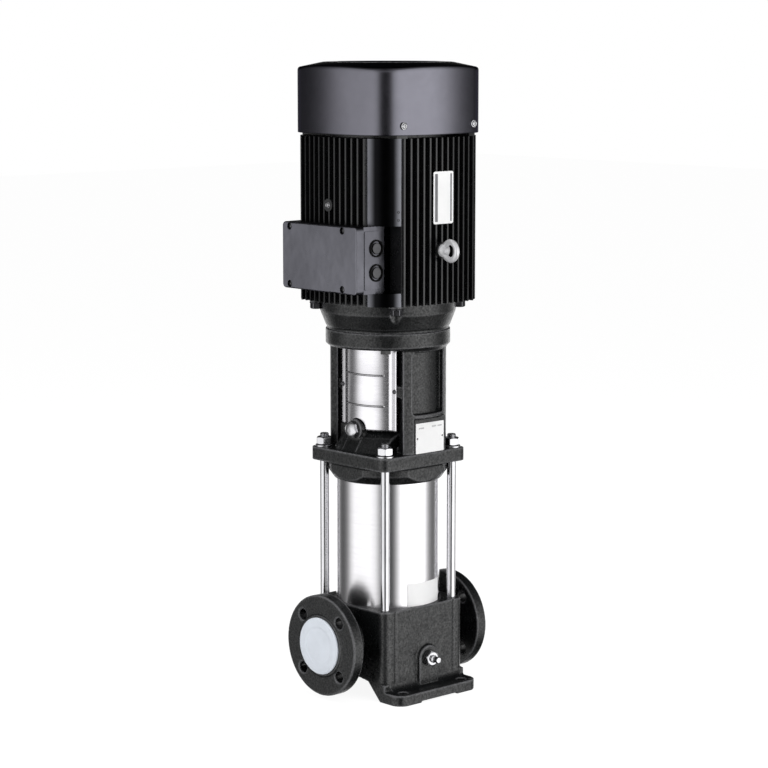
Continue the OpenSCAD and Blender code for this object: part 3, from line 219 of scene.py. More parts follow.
def make_floor():
    mesh = bpy.data.meshes.new("floor")
    corners = [(-FLOOR_REACH, -FLOOR_REACH, 0), (FLOOR_REACH, -FLOOR_REACH, 0),
        (FLOOR_REACH, FLOOR_REACH, 0), (-FLOOR_REACH, FLOOR_REACH, 0)]
    mesh.from_pydata(corners, [], [(0, 1, 2, 3)])
    floor = bpy.data.objects.new("floor", mesh)
    scene.collection.objects.link(floor)
    material = bpy.data.materials.new("floor_white")
    material.use_nodes = True
    g = Graph(material.node_tree)
    path = g.add("ShaderNodeLightPath")
    seen = g.math("MAXIMUM", path.outputs["Is Camera Ray"], path.outputs["Is Transmission Ray"])
    share = g.math("MULTIPLY", seen, FLOOR_WHITENESS)
    matt = g.add("ShaderNodeBsdfDiffuse", {0: FLOOR_COLOUR}).outputs[0]
    bright = g.add("ShaderNodeEmission", {0: WHITE, 1: FLOOR_GLOW}).outputs[0]
    clear = g.add("ShaderNodeBsdfTransparent").outputs[0]
    shader = g.mix_shaders(path.outputs["Is Glossy Ray"], g.mix_shaders(share, matt, bright), clear)
    g.add("ShaderNodeOutputMaterial", {0: shader})
    mesh.materials.append(material)


# Materials
# Pointiness at which a sharp edge starts to lighten, and at which it takes the full edge colour: partly wear,
# partly painted highlight
WEAR_AND_HIGHLIGHT_POINTINESS = (0.503, 0.54)
WEAR_AND_HIGHLIGHT_PATCHES = 140
SPECKLE_SCALE = 330
# Scale of the gloss pattern against the tone pattern
GLOSS_SCALE = 4.3
# Share of the colour left where the painted shade along a rounded corner's middle is darkest
PAINTED_SHADE_FLOOR = 0.05
# Brings metres on the part into the range of a ramp
PAINTED_SHADE_SCALE = 10


def surface(name, colour, roughness, metallic=0.0, variation=0.25, tone_scale=18, grain=(),
            rough_spread=0.08, specular=0.5, tint=1.0, streak=None, edge=None, brushed=0.0,
            speckle=0.0, corner_painted_shade=None):
    """grain is a list of (scale, height in metres). edge is the colour of sharp edges, partly wear and partly
    painted highlight.

    brushed spreads reflections along the Z axis, as on steel brushed around it. speckle is the share by which
    the gloss varies from grain to grain. The last argument is painted shade along the middle of the part's
    four rounded
    corners: the distances from a corner's middle, in metres, where the painted shade ends and the full colour
    starts.
    """
    material = bpy.data.materials.new(name)
    material.use_nodes = True
    g = Graph(material.node_tree)
    place = g.add("ShaderNodeTexCoord").outputs["Object"]
    if streak:
        place = g.add("ShaderNodeMapping", {"Vector": place, "Scale": streak}).outputs[0]
    tone = g.noise(place, tone_scale, 4, 0.6)
    low = tuple(c * (1 - variation) for c in colour)
    high = tuple(min(1, c * (1 + variation)) for c in colour)
    base = g.ramp(tone, ((0.3, low), (0.7, high)))
    # Sharp edges lightened in patches by pointiness: partly wear, partly painted highlight
    if edge:
        sharp = g.add("ShaderNodeNewGeometry").outputs["Pointiness"]
        sharp_wear_and_highlight = g.ramp(sharp, ((WEAR_AND_HIGHLIGHT_POINTINESS[0], 0.0), (WEAR_AND_HIGHLIGHT_POINTINESS[1], 1.0)))
        wear_and_highlight = g.math("MULTIPLY", sharp_wear_and_highlight, g.noise(place, WEAR_AND_HIGHLIGHT_PATCHES, 3, 0.7))
        base = g.blend(wear_and_highlight, base, (*edge, 1))
    # Painted shade: the colour darkens along the middle of each of the part's four rounded corners
    if corner_painted_shade:
        axes = g.add("ShaderNodeSeparateXYZ", {0: place}).outputs
        x, y = (g.math("ABSOLUTE", axes[i]) for i in range(2))
        aside = g.math("MULTIPLY", g.math("ABSOLUTE", g.math("SUBTRACT", x, y)), PAINTED_SHADE_SCALE)
        stops = ((corner_painted_shade[0] * PAINTED_SHADE_SCALE, PAINTED_SHADE_FLOOR), (corner_painted_shade[1] * PAINTED_SHADE_SCALE, 1.0))
        base = g.blend(1.0, base, g.ramp(aside, stops, "EASE"), "MULTIPLY")
    if speckle:
        specular = g.ramp(g.noise(place, SPECKLE_SCALE, 2, 0.6),
            ((0.35, specular * (1 - speckle)), (0.65, specular * (1 + speckle))))
    gloss = g.noise(place, tone_scale * GLOSS_SCALE, 3, 0.6)
    rough = g.ramp(gloss, ((0.25, max(0.02, roughness - rough_spread)), (0.75, roughness + rough_spread)))
    inputs = {"Base Color": base, "Roughness": rough, "Metallic": metallic,
        "Specular IOR Level": specular, "Specular Tint": (tint, tint, tint, 1)}
    normal = None
    for scale, height in grain:
        bump = {"Height": g.noise(place, scale, 3, 0.55), "Distance": height, "Strength": 1.0}
        if normal:
            bump["Normal"] = normal
        normal = g.add("ShaderNodeBump", bump).outputs[0]
    if normal:
        inputs["Normal"] = normal
    if brushed:
        inputs["Anisotropic"] = brushed
        inputs["Anisotropic Rotation"] = 0.25
        inputs["Tangent"] = g.add("ShaderNodeTangent", direction_type="RADIAL", axis="Z").outputs[0]
    shader = g.add("ShaderNodeBsdfPrincipled", inputs).outputs[0]
    g.add("ShaderNodeOutputMaterial", {0: shader})
    return material


def make_materials():
    return {
        # The pale edge colour of the castings is partly wear and partly painted highlight
        "black_casting": surface("black_casting", (0.0045, 0.005, 0.0053), 0.31, variation=0.4, tone_scale=30,
            grain=((300, 0.00026), (850, 0.0001)), rough_spread=0.1, specular=0.52, edge=(0.2, 0.2, 0.21),
            speckle=0.42),
        "motor_paint": surface("motor_paint", (0.0055, 0.0056, 0.0062), 0.3, variation=0.25,
            grain=((1400, 0.00003), (300, 0.00003)), specular=0.6),
        # Paint for the motor frame's rounded corners, with painted shade along each corner's middle
        "corner_paint_painted_shade": surface("corner_paint_painted_shade", (0.14, 0.142, 0.158), 0.24, 1.0, variation=0.08,
            grain=((1700, 0.00001), (60, 0.0001)), rough_spread=0.04, tint=0.25, corner_painted_shade=(0.019, 0.038)),
        "cowl_paint": surface("cowl_paint", (0.15, 0.148, 0.172), 0.21, 1.0, variation=0.05,
            grain=((2600, 0.000006), (45, 0.00006)), rough_spread=0.03, tint=0.2),
        "box_paint": surface("box_paint", (0.12, 0.12, 0.136), 0.33, 1.0, variation=0.12, tone_scale=9,
            grain=((2400, 0.00001), (14, 0.0012)), tint=0.25),
        # A lighter copy of box_paint for the lid's front face: painted light
        "lid_face_painted_light": surface("lid_face_painted_light", (0.22, 0.22, 0.25), 0.33, 1.0, variation=0.12, tone_scale=9,
            grain=((2400, 0.00001), (14, 0.0012)), tint=0.25),
        "polished_stainless": surface("polished_stainless", (0.8, 0.79, 0.81), 0.23, 1.0, variation=0.03,
            grain=((1200, 0.000004),), rough_spread=0.02, streak=(1, 1, 24), brushed=0.75),
        "guard_stainless": surface("guard_stainless", (0.82, 0.81, 0.84), 0.27, 1.0, variation=0.04,
            grain=((800, 0.000005),), rough_spread=0.04, streak=(1, 1, 10)),
        "dark_zinc": surface("dark_zinc", (0.15, 0.15, 0.16), 0.26, 1.0, variation=0.2,
            grain=((1500, 0.00002),), tint=0.3),
        "cast_stainless": surface("cast_stainless", (0.8, 0.8, 0.82), 0.4, 0.5, variation=0.1,
            grain=((900, 0.00012),), rough_spread=0.06),
        "stainless": surface("stainless", (0.74, 0.74, 0.75), 0.2, 1.0, variation=0.05,
            grain=((900, 0.00001),), rough_spread=0.05),
        "bright_fixings": surface("bright_fixings", (0.64, 0.64, 0.66), 0.2, 1.0, variation=0.08,
            grain=((1500, 0.00002),), rough_spread=0.06),
        "dark_fixings": surface("dark_fixings", (0.008, 0.008, 0.009), 0.3, 0.0, variation=0.3,
            grain=((1500, 0.00004),), specular=0.6),
        "grey_steel": surface("grey_steel", (0.45, 0.45, 0.46), 0.32, 1.0, variation=0.12,
            grain=((900, 0.00002),)),
        "electrical_steel": surface("electrical_steel", (0.3, 0.3, 0.31), 0.42, 1.0, variation=0.12,
            grain=((80, 0.00005),), streak=(1, 1, 60)),
        "copper": surface("copper", (0.55, 0.24, 0.1), 0.3, 1.0, variation=0.2, grain=((700, 0.00015),)),
        "seal_rubber": surface("seal_rubber", (0.012, 0.012, 0.012), 0.6, variation=0.25,
            grain=((1600, 0.00003),), specular=0.35),
        "plug_black": surface("plug_black", (0.003, 0.003, 0.003), 0.5, variation=0.3,
            grain=((1600, 0.00003),), specular=0.12),
        "seal_face": surface("seal_face", (0.06, 0.06, 0.065), 0.22, variation=0.15,
            grain=((1600, 0.00001),)),
        "fan_plastic": surface("fan_plastic", (0.02, 0.02, 0.022), 0.45, variation=0.15,
            grain=((1600, 0.00004),)),
        "block_plastic": surface("block_plastic", (0.5, 0.47, 0.4), 0.45, variation=0.1,
            grain=((1200, 0.00003),)),
        "cap_plastic": surface("cap_plastic", (0.66, 0.7, 0.76), 0.42, variation=0.05, tone_scale=26,
            grain=((1500, 0.00003), (120, 0.00008)), specular=0.4),
        "plug_grey": surface("plug_grey", (0.07, 0.07, 0.075), 0.4, variation=0.15, grain=((1500, 0.00004),)),
        "print_grey": surface("print_grey", (0.17, 0.17, 0.18), 0.4, variation=0.2, tone_scale=400,
            grain=((1500, 0.00001),)),
        "print_pale": surface("print_pale", (0.52, 0.52, 0.53), 0.4, variation=0.15, tone_scale=400,
            grain=((1500, 0.00001),)),
        "label_film": surface("label_film", (0.92, 0.92, 0.92), 0.35, variation=0.03,
            grain=((1500, 0.00001),), specular=0.4),
    }


# Mesh helpers
def link(name, mesh, material, body, node=None):
    """Adds a mesh to a body. It stands for a node where one is given."""
    piece = bpy.data.objects.new(name, mesh)
    scene.collection.objects.link(piece)
    mesh.materials.clear()
    mesh.materials.append(material)
    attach(piece, body)
    if node:
        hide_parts(node)
    return piece


def dress(node, mesh, material):
    """Puts a mesh in a node's place."""
    return link(node + "_dressed", mesh, material, body_of_node[node], node)


def shade_smooth(piece):
    for polygon in piece.data.polygons:
        polygon.use_smooth = True


def shade_flat_faces(piece):
    """Flat faces stay flat in shade beside their rounded edges."""
    shade_smooth(piece)
    weighted = piece.modifiers.new("weighted_shading", "WEIGHTED_NORMAL")
    weighted.mode = "FACE_AREA_WITH_ANGLE"
    weighted.weight = 100
    weighted.keep_sharp = True


def break_edges(piece, width, angle=32, segments=2):
    """Rounds the edges by width in millimetres."""
    modifier = piece.modifiers.new("broken_edges", "BEVEL")
    modifier.width = width * MM
    modifier.segments = segments
    modifier.limit_method = "ANGLE"
    modifier.angle_limit = math.radians(angle)
    modifier.use_clamp_overlap = True
    shade_flat_faces(piece)
    return piece


# Radius in place of zero at the ends of a turned solid
AXIS = 0.01


class Shape:
    """Points and faces in millimetres, which become one mesh."""

    def __init__(self):
        self.points = []
        self.faces = []

    def loft(self, rings, close_start=True, close_end=True, place=None):
        """Joins rings of as many points each."""
        first = len(self.points)
        count = len(rings[0])
        for ring in rings:
            for point in ring:
                vector = Vector(point)
                self.points.append(place @ vector if place else vector)
        for r in range(len(rings) - 1):
            for i in range(count):
                a = first + r * count + i
                b = first + r * count + (i + 1) % count
                self.faces.append((a, b, b + count, a + count))
        if close_start:
            self.faces.append(tuple(first + i for i in reversed(range(count))))
        if close_end:
            last = first + (len(rings) - 1) * count
            self.faces.append(tuple(last + i for i in range(count)))
        return self

    def lathe(self, profile, place=None, segments=96, closed=False):
        """Turns (radius, height) points round the Z axis. closed joins the last point to the first."""
        rings = []
        for radius, height in profile:
            rings.append([(radius * math.cos(t), radius * math.sin(t), height)
                for t in (2 * math.pi * i / segments for i in range(segments))])
        if closed:
            rings.append(rings[0])
        return self.loft(rings, not closed, not closed, place)

    def mesh(self, name):
        mesh = bpy.data.meshes.new(name)
        mesh.from_pydata([tuple(p * MM) for p in self.points], [], self.faces)
        bm = bmesh.new()
        bm.from_mesh(mesh)
        bmesh.ops.remove_doubles(bm, verts=bm.verts, dist=1e-7)
        bmesh.ops.recalc_face_normals(bm, faces=bm.faces)
        bm.to_mesh(mesh)
        bm.free()
        return mesh


def add_piece(node, shape, material, bevel=0.0, angle=32, segments=2, name=None):
    """Stands for a node, or adds a detail of its own to the node's body where a name is given."""
    full_name = name or node + "_dressed"
    mesh = shape.mesh(full_name)
    piece = link(full_name, mesh, material, body_of_node[node], None if name else node)
    if bevel:
        break_edges(piece, bevel, angle, segments)
    else:
        shade_smooth(piece)


def z_range(node):
    """The lowest and the highest level of a solid, in millimetres."""
    return tuple(corner.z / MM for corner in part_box(node))


def towards(direction, at):
    """Places +Z along direction, with its origin at a point in millimetres."""
    return Matrix.Translation(Vector(at)) @ Vector(direction).to_track_quat("Z", "Y").to_matrix().to_4x4()


def hexagon_radius(angle, across_flats):
    sixth = math.pi / 3
    return across_flats / 2 / math.cos((angle % sixth) - sixth / 2)


HEAD_POINTS = 72
CHAMFER_SLOPE = math.tan(math.radians(30))


def hexagon_head(shape, across_flats, low, high, place, chamfer, turn=0.0, both=False, hole=0.0, dome=0.0):
    """A hexagon head or nut whose corners are turned off, with the arcs that this leaves on its flats.

    chamfer is the share of the width across flats that stays flat, and turn the head's angle in radians.
    both turns off the underside too, hole is the radius of a hole through it, and dome the rise of its top.
    """
    angles = [2 * math.pi * i / HEAD_POINTS for i in range(HEAD_POINTS)]
    flat = across_flats / 2 * chamfer
    rim = [hexagon_radius(t + turn, across_flats) for t in angles]

    def ring(radii, heights):
        return [(r * math.cos(t), r * math.sin(t), z) for r, t, z in zip(radii, angles, heights)]

    def level(radius, height):
        return ring([radius] * HEAD_POINTS, [height] * HEAD_POINTS)

    drop = [(r - flat) * CHAMFER_SLOPE for r in rim]
    rings = []
    if both:
        rings.append(level(flat, low))
        rings.append(ring(rim, [low + d for d in drop]))
    else:
        rings.append(ring(rim, [low] * HEAD_POINTS))
    rings.append(ring(rim, [high - d for d in drop]))
    rings.append(level(flat, high))
    if dome:
        for share in (0.8, 0.55, 0.3):
            rings.append(level(flat * share, high + dome * (1 - share ** 2)))
    if hole:
        rings.append(level(hole, high))
        rings.append(level(hole, low))
        rings.append(rings[0])
        return shape.loft(rings, False, False, place)
    return shape.loft(rings, True, True, place)


def rounded_rectangle(width, height, corner, steps=6):
    """Outline of a rectangle with round corners, centred on the origin."""
    outline = []
    for quarter, (sx, sy) in enumerate(((1, 1), (-1, 1), (-1, -1), (1, -1))):
        for i in range(steps + 1):
            t = math.pi / 2 * (quarter + i / steps)
            outline.append((sx * (width / 2 - corner) + corner * math.cos(t),
                sy * (height / 2 - corner) + corner * math.sin(t)))
    return outline


# Pieces made from the solids
def clean_copy(node):
    """The solid's mesh with its flat faces joined."""
    mesh = nodes[node].data.copy()
    mesh.name = node + "_dressed"
    bm = bmesh.new()
    bm.from_mesh(mesh)
    bmesh.ops.remove_doubles(bm, verts=bm.verts, dist=1e-6)
    bmesh.ops.dissolve_limit(bm, angle_limit=math.radians(0.4), verts=bm.verts, edges=bm.edges)
    bm.to_mesh(mesh)
    bm.free()
    return mesh


def crisp(node, material, bevel=0.4, segments=2, share=None):
    """The solid with its edges broken by a small bevel in millimetres.

    share gives each edge its part of the bevel from its middle and its direction, in millimetres.
    """
    mesh = clean_copy(node)
    piece = break_edges(dress(node, mesh, material), bevel, segments=segments)
    if share:
        weights = mesh.attributes.new("bevel_weight_edge", "FLOAT", "EDGE")
        for edge in mesh.edges:
            start, end = (mesh.vertices[v].co / MM for v in edge.vertices)
            weights.data[edge.index].value = share((start + end) / 2, (end - start).normalized())
        piece.modifiers["broken_edges"].limit_method = "WEIGHT"
    return piece


CASTINGS = ("base_casing", "pump_head", "motor_stool", "drive_end_shield")
CASTING_VOXEL = 1.3
CASTING_ROUNDS = 5


def casting(node, material):
    """The solid with every edge rounded as in a sand casting."""
    piece = dress(node, clean_copy(node), material)
    remesh = piece.modifiers.new("fine_mesh", "REMESH")
    remesh.mode = "VOXEL"
    remesh.voxel_size = CASTING_VOXEL * MM
    remesh.use_smooth_shade = True
    soften = piece.modifiers.new("rounded", "SMOOTH")
    soften.factor = 0.5
    soften.iterations = CASTING_ROUNDS
    return piece


# Fan cowl
COWL_FACE = 127.5
COWL_DIAGONAL = 145.8
COWL_CORNER = 58
COWL_FLAT = 104
COWL_CROWN = 8.8
COWL_WALL = 2
COWL_HEM = 0.5
COWL_ROUND = 5
COWL_SEGMENTS = 240
GRILLE_RADIUS = 80
GRILLE_RINGS = 6
GRILLE_SPOKES = 6
GRILLE_WIRE = 3.4
GRILLE_LIP = 3
GRILLE_DROP = 1.4
HUB_CHAMFER = 0.8


def cowl_radius(angle, inset=0.0):
    """Distance from the axis to the outline of the cowl at this angle."""
    face, corner = COWL_FACE - inset, COWL_CORNER - inset
    centre = (COWL_DIAGONAL - COWL_CORNER) / math.sqrt(2)
    arch = ((face - centre) ** 2 + centre ** 2 - corner ** 2) / (2 * (face - centre - corner))
    eighth = abs((angle + math.pi / 4) % (math.pi / 2) - math.pi / 4)
    ray = Vector((math.cos(eighth), math.sin(eighth)))

    def reach(middle, radius):
        along = ray.dot(middle)
        return along + math.sqrt(along * along - middle.length_squared + radius * radius)

    back = Vector((face - arch, 0))
    distance = reach(back, arch)
    point = ray * distance
    if point.y > (point.x - back.x) * centre / (centre - back.x):
        distance = reach(Vector((centre, centre)), corner)
    return distance


def make_cowl(material):
    low, high = z_range("fan_cowl")
    angles = [2 * math.pi * i / COWL_SEGMENTS for i in range(COWL_SEGMENTS)]
    crown_start = COWL_DIAGONAL + 0.2
    slope = COWL_CROWN / (crown_start - COWL_FLAT)

    def crown(radius):
        return high - COWL_CROWN + (crown_start - radius) * slope

    def profile(edge):
        """(radius, height) points round the sheet, where its outline is at the radius edge."""
        points = [(edge - COWL_WALL, low + 0.6), (edge - COWL_WALL + COWL_HEM, low), (edge - COWL_HEM, low),
            (edge, low + COWL_HEM), (edge, low + 3), (edge, crown(edge) - COWL_ROUND * 1.6),
            (edge, crown(edge) - COWL_ROUND)]
        for share in (0.2, 0.4, 0.6, 0.8, 1.0):
            # Quadratic curve round the shoulder, from the wall to the crown
            a, b, c = (1 - share) ** 2, 2 * share * (1 - share), share ** 2
            points.append((edge - c * COWL_ROUND,
                a * (crown(edge) - COWL_ROUND) + b * crown(edge) + c * crown(edge - COWL_ROUND)))
        halfway = (edge + COWL_FLAT) / 2
        inside = high - COWL_WALL
        return points + [(halfway, crown(halfway)), (COWL_FLAT + 3, crown(COWL_FLAT + 3)),
            (COWL_FLAT, high - 0.15), (COWL_FLAT - 4, high), (GRILLE_RADIUS + GRILLE_LIP, high),
            (GRILLE_RADIUS + 0.6, high - 0.5), (GRILLE_RADIUS, high - GRILLE_DROP),
            (GRILLE_RADIUS, inside - GRILLE_DROP), (GRILLE_RADIUS + 2, inside), (COWL_FLAT - 2, inside),
            (edge - COWL_ROUND, crown(edge - COWL_ROUND) - COWL_WALL),
            (edge - COWL_WALL, crown(edge) - COWL_ROUND - COWL_WALL)]

    rings = []
    for level in zip(*(profile(cowl_radius(t)) for t in angles)):
        rings.append([(radius * math.cos(t), radius * math.sin(t), height)
            for (radius, height), t in zip(level, angles)])
    rings.append(rings[0])
    shape = Shape().loft(rings, False, False)
    pitch = GRILLE_RADIUS / GRILLE_RINGS
    wire = GRILLE_WIRE / 2
    for i in range(1, GRILLE_RINGS):
        shape.lathe([(i * pitch + wire * math.cos(t), high - wire + wire * math.sin(t))
            for t in (math.pi / 4 * k for k in range(8))], closed=True)
    hub, bottom = pitch / 2, high - 2.6
    shape.lathe([(AXIS, bottom), (hub - HUB_CHAMFER, bottom), (hub, bottom + HUB_CHAMFER),
        (hub, high - HUB_CHAMFER), (hub - HUB_CHAMFER, high), (AXIS, high)])
    for i in range(GRILLE_SPOKES):
        turn = 2 * math.pi * i / GRILLE_SPOKES
        along = towards((math.cos(turn), math.sin(turn), 0), (0, 0, high - 2.3))
        shape.lathe([(wire, hub - 1), (wire, GRILLE_RADIUS + GRILLE_LIP)], along, segments=12)
    add_piece("fan_cowl", shape, material)


# Sleeve, tie rods and nuts
SLEEVE_WALL = 2.5
SLEEVE_CHAMFER = 0.4
# Plain ends that keep the chamfers' shade off the long wall
SLEEVE_END = 6


def make_sleeve(material):
    low, high = z_range("outer_sleeve")
    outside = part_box("outer_sleeve")[1].x / MM
    inside = outside - SLEEVE_WALL
    cut = SLEEVE_CHAMFER
    shape = Shape().lathe([(inside, low + cut), (inside + cut, low), (outside - cut, low),
        (outside, low + cut), (outside, low + SLEEVE_END), (outside, high - SLEEVE_END),
        (outside, high - cut), (outside - cut, high), (inside + cut, high), (inside, high - cut)],
        segments=192, closed=True)
    shade_flat_faces(dress("outer_sleeve", shape.mesh("outer_sleeve_dressed"), material))


ROD_OFFSET = 73.8
ROD_RADIUS = 7.5
ROD_THREAD = 26
THREAD_PITCH = 2
# (depth, height) of the points of one turn
THREAD_FORM = ((0.75, 0.9), (0.75, 1.1), (0, 1.9), (0, 2.1))
NUT_ACROSS = 24
# Each nut stopped at an angle of its own, in degrees
NUT_TURNS = (12, 19, 26, 33)
WASHER_HOLE = 8.3
WASHER_RADIUS = 15
WASHER_CHAMFER = 0.8


def four_corners(offset):
    return [(sx * offset, sy * offset) for sx in (-1, 1) for sy in (-1, 1)]


def make_rods(material):
    low, high = z_range("tie_rods")
    shape = Shape()
    for x, y in four_corners(ROD_OFFSET):
        profile = [(AXIS, low), (ROD_RADIUS - 1, low), (ROD_RADIUS, low + 1), (ROD_RADIUS, high - ROD_THREAD)]
        for i in range(int(ROD_THREAD / THREAD_PITCH) - 1):
            z = high - ROD_THREAD + i * THREAD_PITCH
            profile += [(ROD_RADIUS - depth, z + rise) for depth, rise in THREAD_FORM]
        profile += [(ROD_RADIUS - 1.2, high - 0.4), (ROD_RADIUS - 1.8, high), (AXIS, high)]
        shape.lathe(profile, Matrix.Translation((x, y, 0)), segments=40)
    add_piece("tie_rods", shape, material, bevel=0.12, angle=40, segments=1)


def make_nuts(material):
    low, high = z_range("rod_nuts")
    shape = Shape()
    for turn, (x, y) in zip(NUT_TURNS, four_corners(ROD_OFFSET)):
        hexagon_head(shape, NUT_ACROSS, low, high, Matrix.Translation((x, y, 0)), chamfer=0.9,
            turn=math.radians(turn), both=True, hole=ROD_RADIUS)
    add_piece("rod_nuts", shape, material, bevel=0.6, angle=25, segments=3)

    low, high = z_range("rod_washers")
    shape = Shape()
    for x, y in four_corners(ROD_OFFSET):
        shape.lathe([(WASHER_HOLE, low), (WASHER_RADIUS, low), (WASHER_RADIUS, high - WASHER_CHAMFER),
            (WASHER_RADIUS - WASHER_CHAMFER, high), (WASHER_HOLE, high)],
            Matrix.Translation((x, y, 0)), segments=48, closed=True)
    add_piece("rod_washers", shape, material, bevel=0.25)


# Coupling guards
GUARD_PLANE = 43.2
GUARD_RADIUS = 68
GUARD_EDGE = 67
GUARD_SHEET = 1.2
GUARD_BEADS = (477, 527)
BEAD_HALF = 1.9
BEAD_RISE = 1.2
BEAD_END = 46.5
NOTCH_RADIUS = 18.5
NOTCH_HEIGHT = 436.7
# Room left for the fold between each flange and the arch
FOLD = 1.4
ARCH_STEPS = 96
FLANGE_STEPS = 4
NOTCH_ROWS = 6
BEAD_ROWS = 5


def guard_path():
    """Points along the sheet from one flange to the other, with a share of bead for each."""
    corner = math.sqrt(GUARD_RADIUS ** 2 - GUARD_PLANE ** 2)
    flange = GUARD_EDGE - corner - FOLD
    points = [(GUARD_PLANE, flange * i / FLANGE_STEPS - GUARD_EDGE, 0.0) for i in range(FLANGE_STEPS + 1)]
    span = math.asin(corner / GUARD_RADIUS)
    for i in range(ARCH_STEPS + 1):
        turn = span * (2 * i / ARCH_STEPS - 1)
        x, y = GUARD_RADIUS * math.cos(turn), GUARD_RADIUS * math.sin(turn)
        if abs(y) > corner - FOLD:
            continue
        points.append((x, y, min(1.0, max(0.0, (BEAD_END - abs(y)) / 2))))
    return points + [(x, -y, bead) for x, y, bead in reversed(points[:FLANGE_STEPS + 1])]


def make_guard(node, side, material):
    low, high = z_range(node)
    notch_top = NOTCH_HEIGHT + NOTCH_RADIUS + 1
    upper = [middle + BEAD_HALF * i / BEAD_ROWS
        for middle in GUARD_BEADS for i in range(-BEAD_ROWS, BEAD_ROWS + 1)] + [high - 3, high]
    points = []
    for x, y, bead in guard_path():
        floor = low
        if abs(y) < NOTCH_RADIUS:
            floor = NOTCH_HEIGHT + math.sqrt(NOTCH_RADIUS ** 2 - y * y)
        for z in [floor + (notch_top - floor) * i / NOTCH_ROWS for i in range(NOTCH_ROWS + 1)] + upper:
            rise = sum(math.cos(math.pi / 2 * (z - middle) / BEAD_HALF) ** 2
                for middle in GUARD_BEADS if abs(z - middle) < BEAD_HALF)
            out = 1 + bead * rise * BEAD_RISE / GUARD_RADIUS
            points.append((side * x * out * MM, side * y * out * MM, z * MM))
    rows = NOTCH_ROWS + 1 + len(upper)
    columns = len(points) // rows
    mesh = bpy.data.meshes.new(node + "_dressed")
    mesh.from_pydata(points, [], [(a, a + rows, a + rows + 1, a + 1)
        for i in range(columns - 1) for a in range(i * rows, (i + 1) * rows - 1)])
    piece = dress(node, mesh, material)
    sheet = piece.modifiers.new("sheet", "SOLIDIFY")
    sheet.thickness = GUARD_SHEET * MM
    sheet.offset = -1
    shade_smooth(piece)


# Plugs, screws and bolts
HEX_WIDTH = 24
PLUG_SEAT = 2.1
PLUG_HEX = 7.5
PLUG_THREAD = 8.7
PLUG_END = -11
# Hole through the drain plug, and the screw in it
VENT_HOLE = 3.4
VENT_SCREW = 2.9
RING_HOLE = 9.4
PRIMING_HEIGHT = 436.7
PRIMING_FACE = 75
DRAIN_X = 4
DRAIN_HEIGHT = 61.4
DRAIN_FACE = 96
FRONT = (0, -1, 0)
LEFT = (-1, 0, 0)


def make_plugs(material, dark):
    priming = towards(LEFT, (-PRIMING_FACE, 0, PRIMING_HEIGHT))
    shape = Shape()
    hexagon_head(shape, HEX_WIDTH, PLUG_SEAT, PLUG_SEAT + PLUG_HEX, priming,
        chamfer=0.8, turn=0.2, dome=1.4)
    shape.lathe([(AXIS, PLUG_END), (PLUG_THREAD, PLUG_END), (PLUG_THREAD, 2.4), (AXIS, 2.4)],
        priming, segments=32)
    add_piece("priming_plug", shape, material, bevel=0.7, angle=25, segments=3)

    drain = towards(FRONT, (DRAIN_X, -DRAIN_FACE, DRAIN_HEIGHT))
    shape = Shape()
    hexagon_head(shape, HEX_WIDTH, PLUG_SEAT, PLUG_SEAT + PLUG_HEX, drain,
        chamfer=0.86, turn=0.35, hole=VENT_HOLE)
    shape.lathe([(VENT_HOLE, PLUG_END), (PLUG_THREAD, PLUG_END), (PLUG_THREAD, 2.4), (VENT_HOLE, 2.4)],
        drain, segments=32, closed=True)
    add_piece("drain_plug", shape, material, bevel=0.6, angle=25, segments=3)

    # Shank, collar, neck and round head, as (radius, height above the plug)
    head = ((VENT_SCREW, 0), (6.2, 0), (6.4, 0.5), (6.4, 1.6), (5.2, 2.2), (4.1, 2.8), (4.1, 5.6), (4.9, 6.2),
        (5.1, 6.8), (5.1, 12), (4.4, 12.9), (AXIS, 13))
    seat = PLUG_SEAT + PLUG_HEX + 0.3
    shape = Shape().lathe([(AXIS, PLUG_END), (VENT_SCREW, PLUG_END), *((r, seat + z) for r, z in head)],
        drain, segments=40)
    add_piece("drain_screw", shape, material, bevel=0.25, angle=30)

    shape = Shape()
    for place in (drain, priming):
        shape.lathe([(RING_HOLE, 0.02), (14, 0.02), (14, 1), (13.4, 1.5), (RING_HOLE, 1.5)],
            place, segments=48, closed=True)
    add_piece("plug_washers", shape, dark, bevel=0.2)


def pan_head(shape, place, radius, height, shank, depth, washer=0.0):
    """A pan head with a round socket, on a washer where its radius is given."""
    base = 0.0
    if washer:
        base = 0.8
        shape.lathe([(shank, 0), (washer, 0), (washer, 0.5), (washer - 0.4, base), (shank, base)],
            place, segments=32, closed=True)
    socket = radius * 0.42
    shape.lathe([(AXIS, -depth), (shank, -depth), (shank, base), (radius, base),
        (radius, base + height * 0.45), (radius * 0.9, base + height * 0.8),
        (radius * 0.66, base + height), (socket, base + height), (socket * 0.9, base + height * 0.45),
        (AXIS, base + height * 0.4)], place, segments=28)


COWL_SCREW_X = 76
COWL_SCREW_RISE = 15
COWL_SCREW_OUT = 3
GUARD_SCREW_Y = 62.5
GUARD_SCREW_HEIGHT = 502.1
EARTH_SCREW_OUT = 3


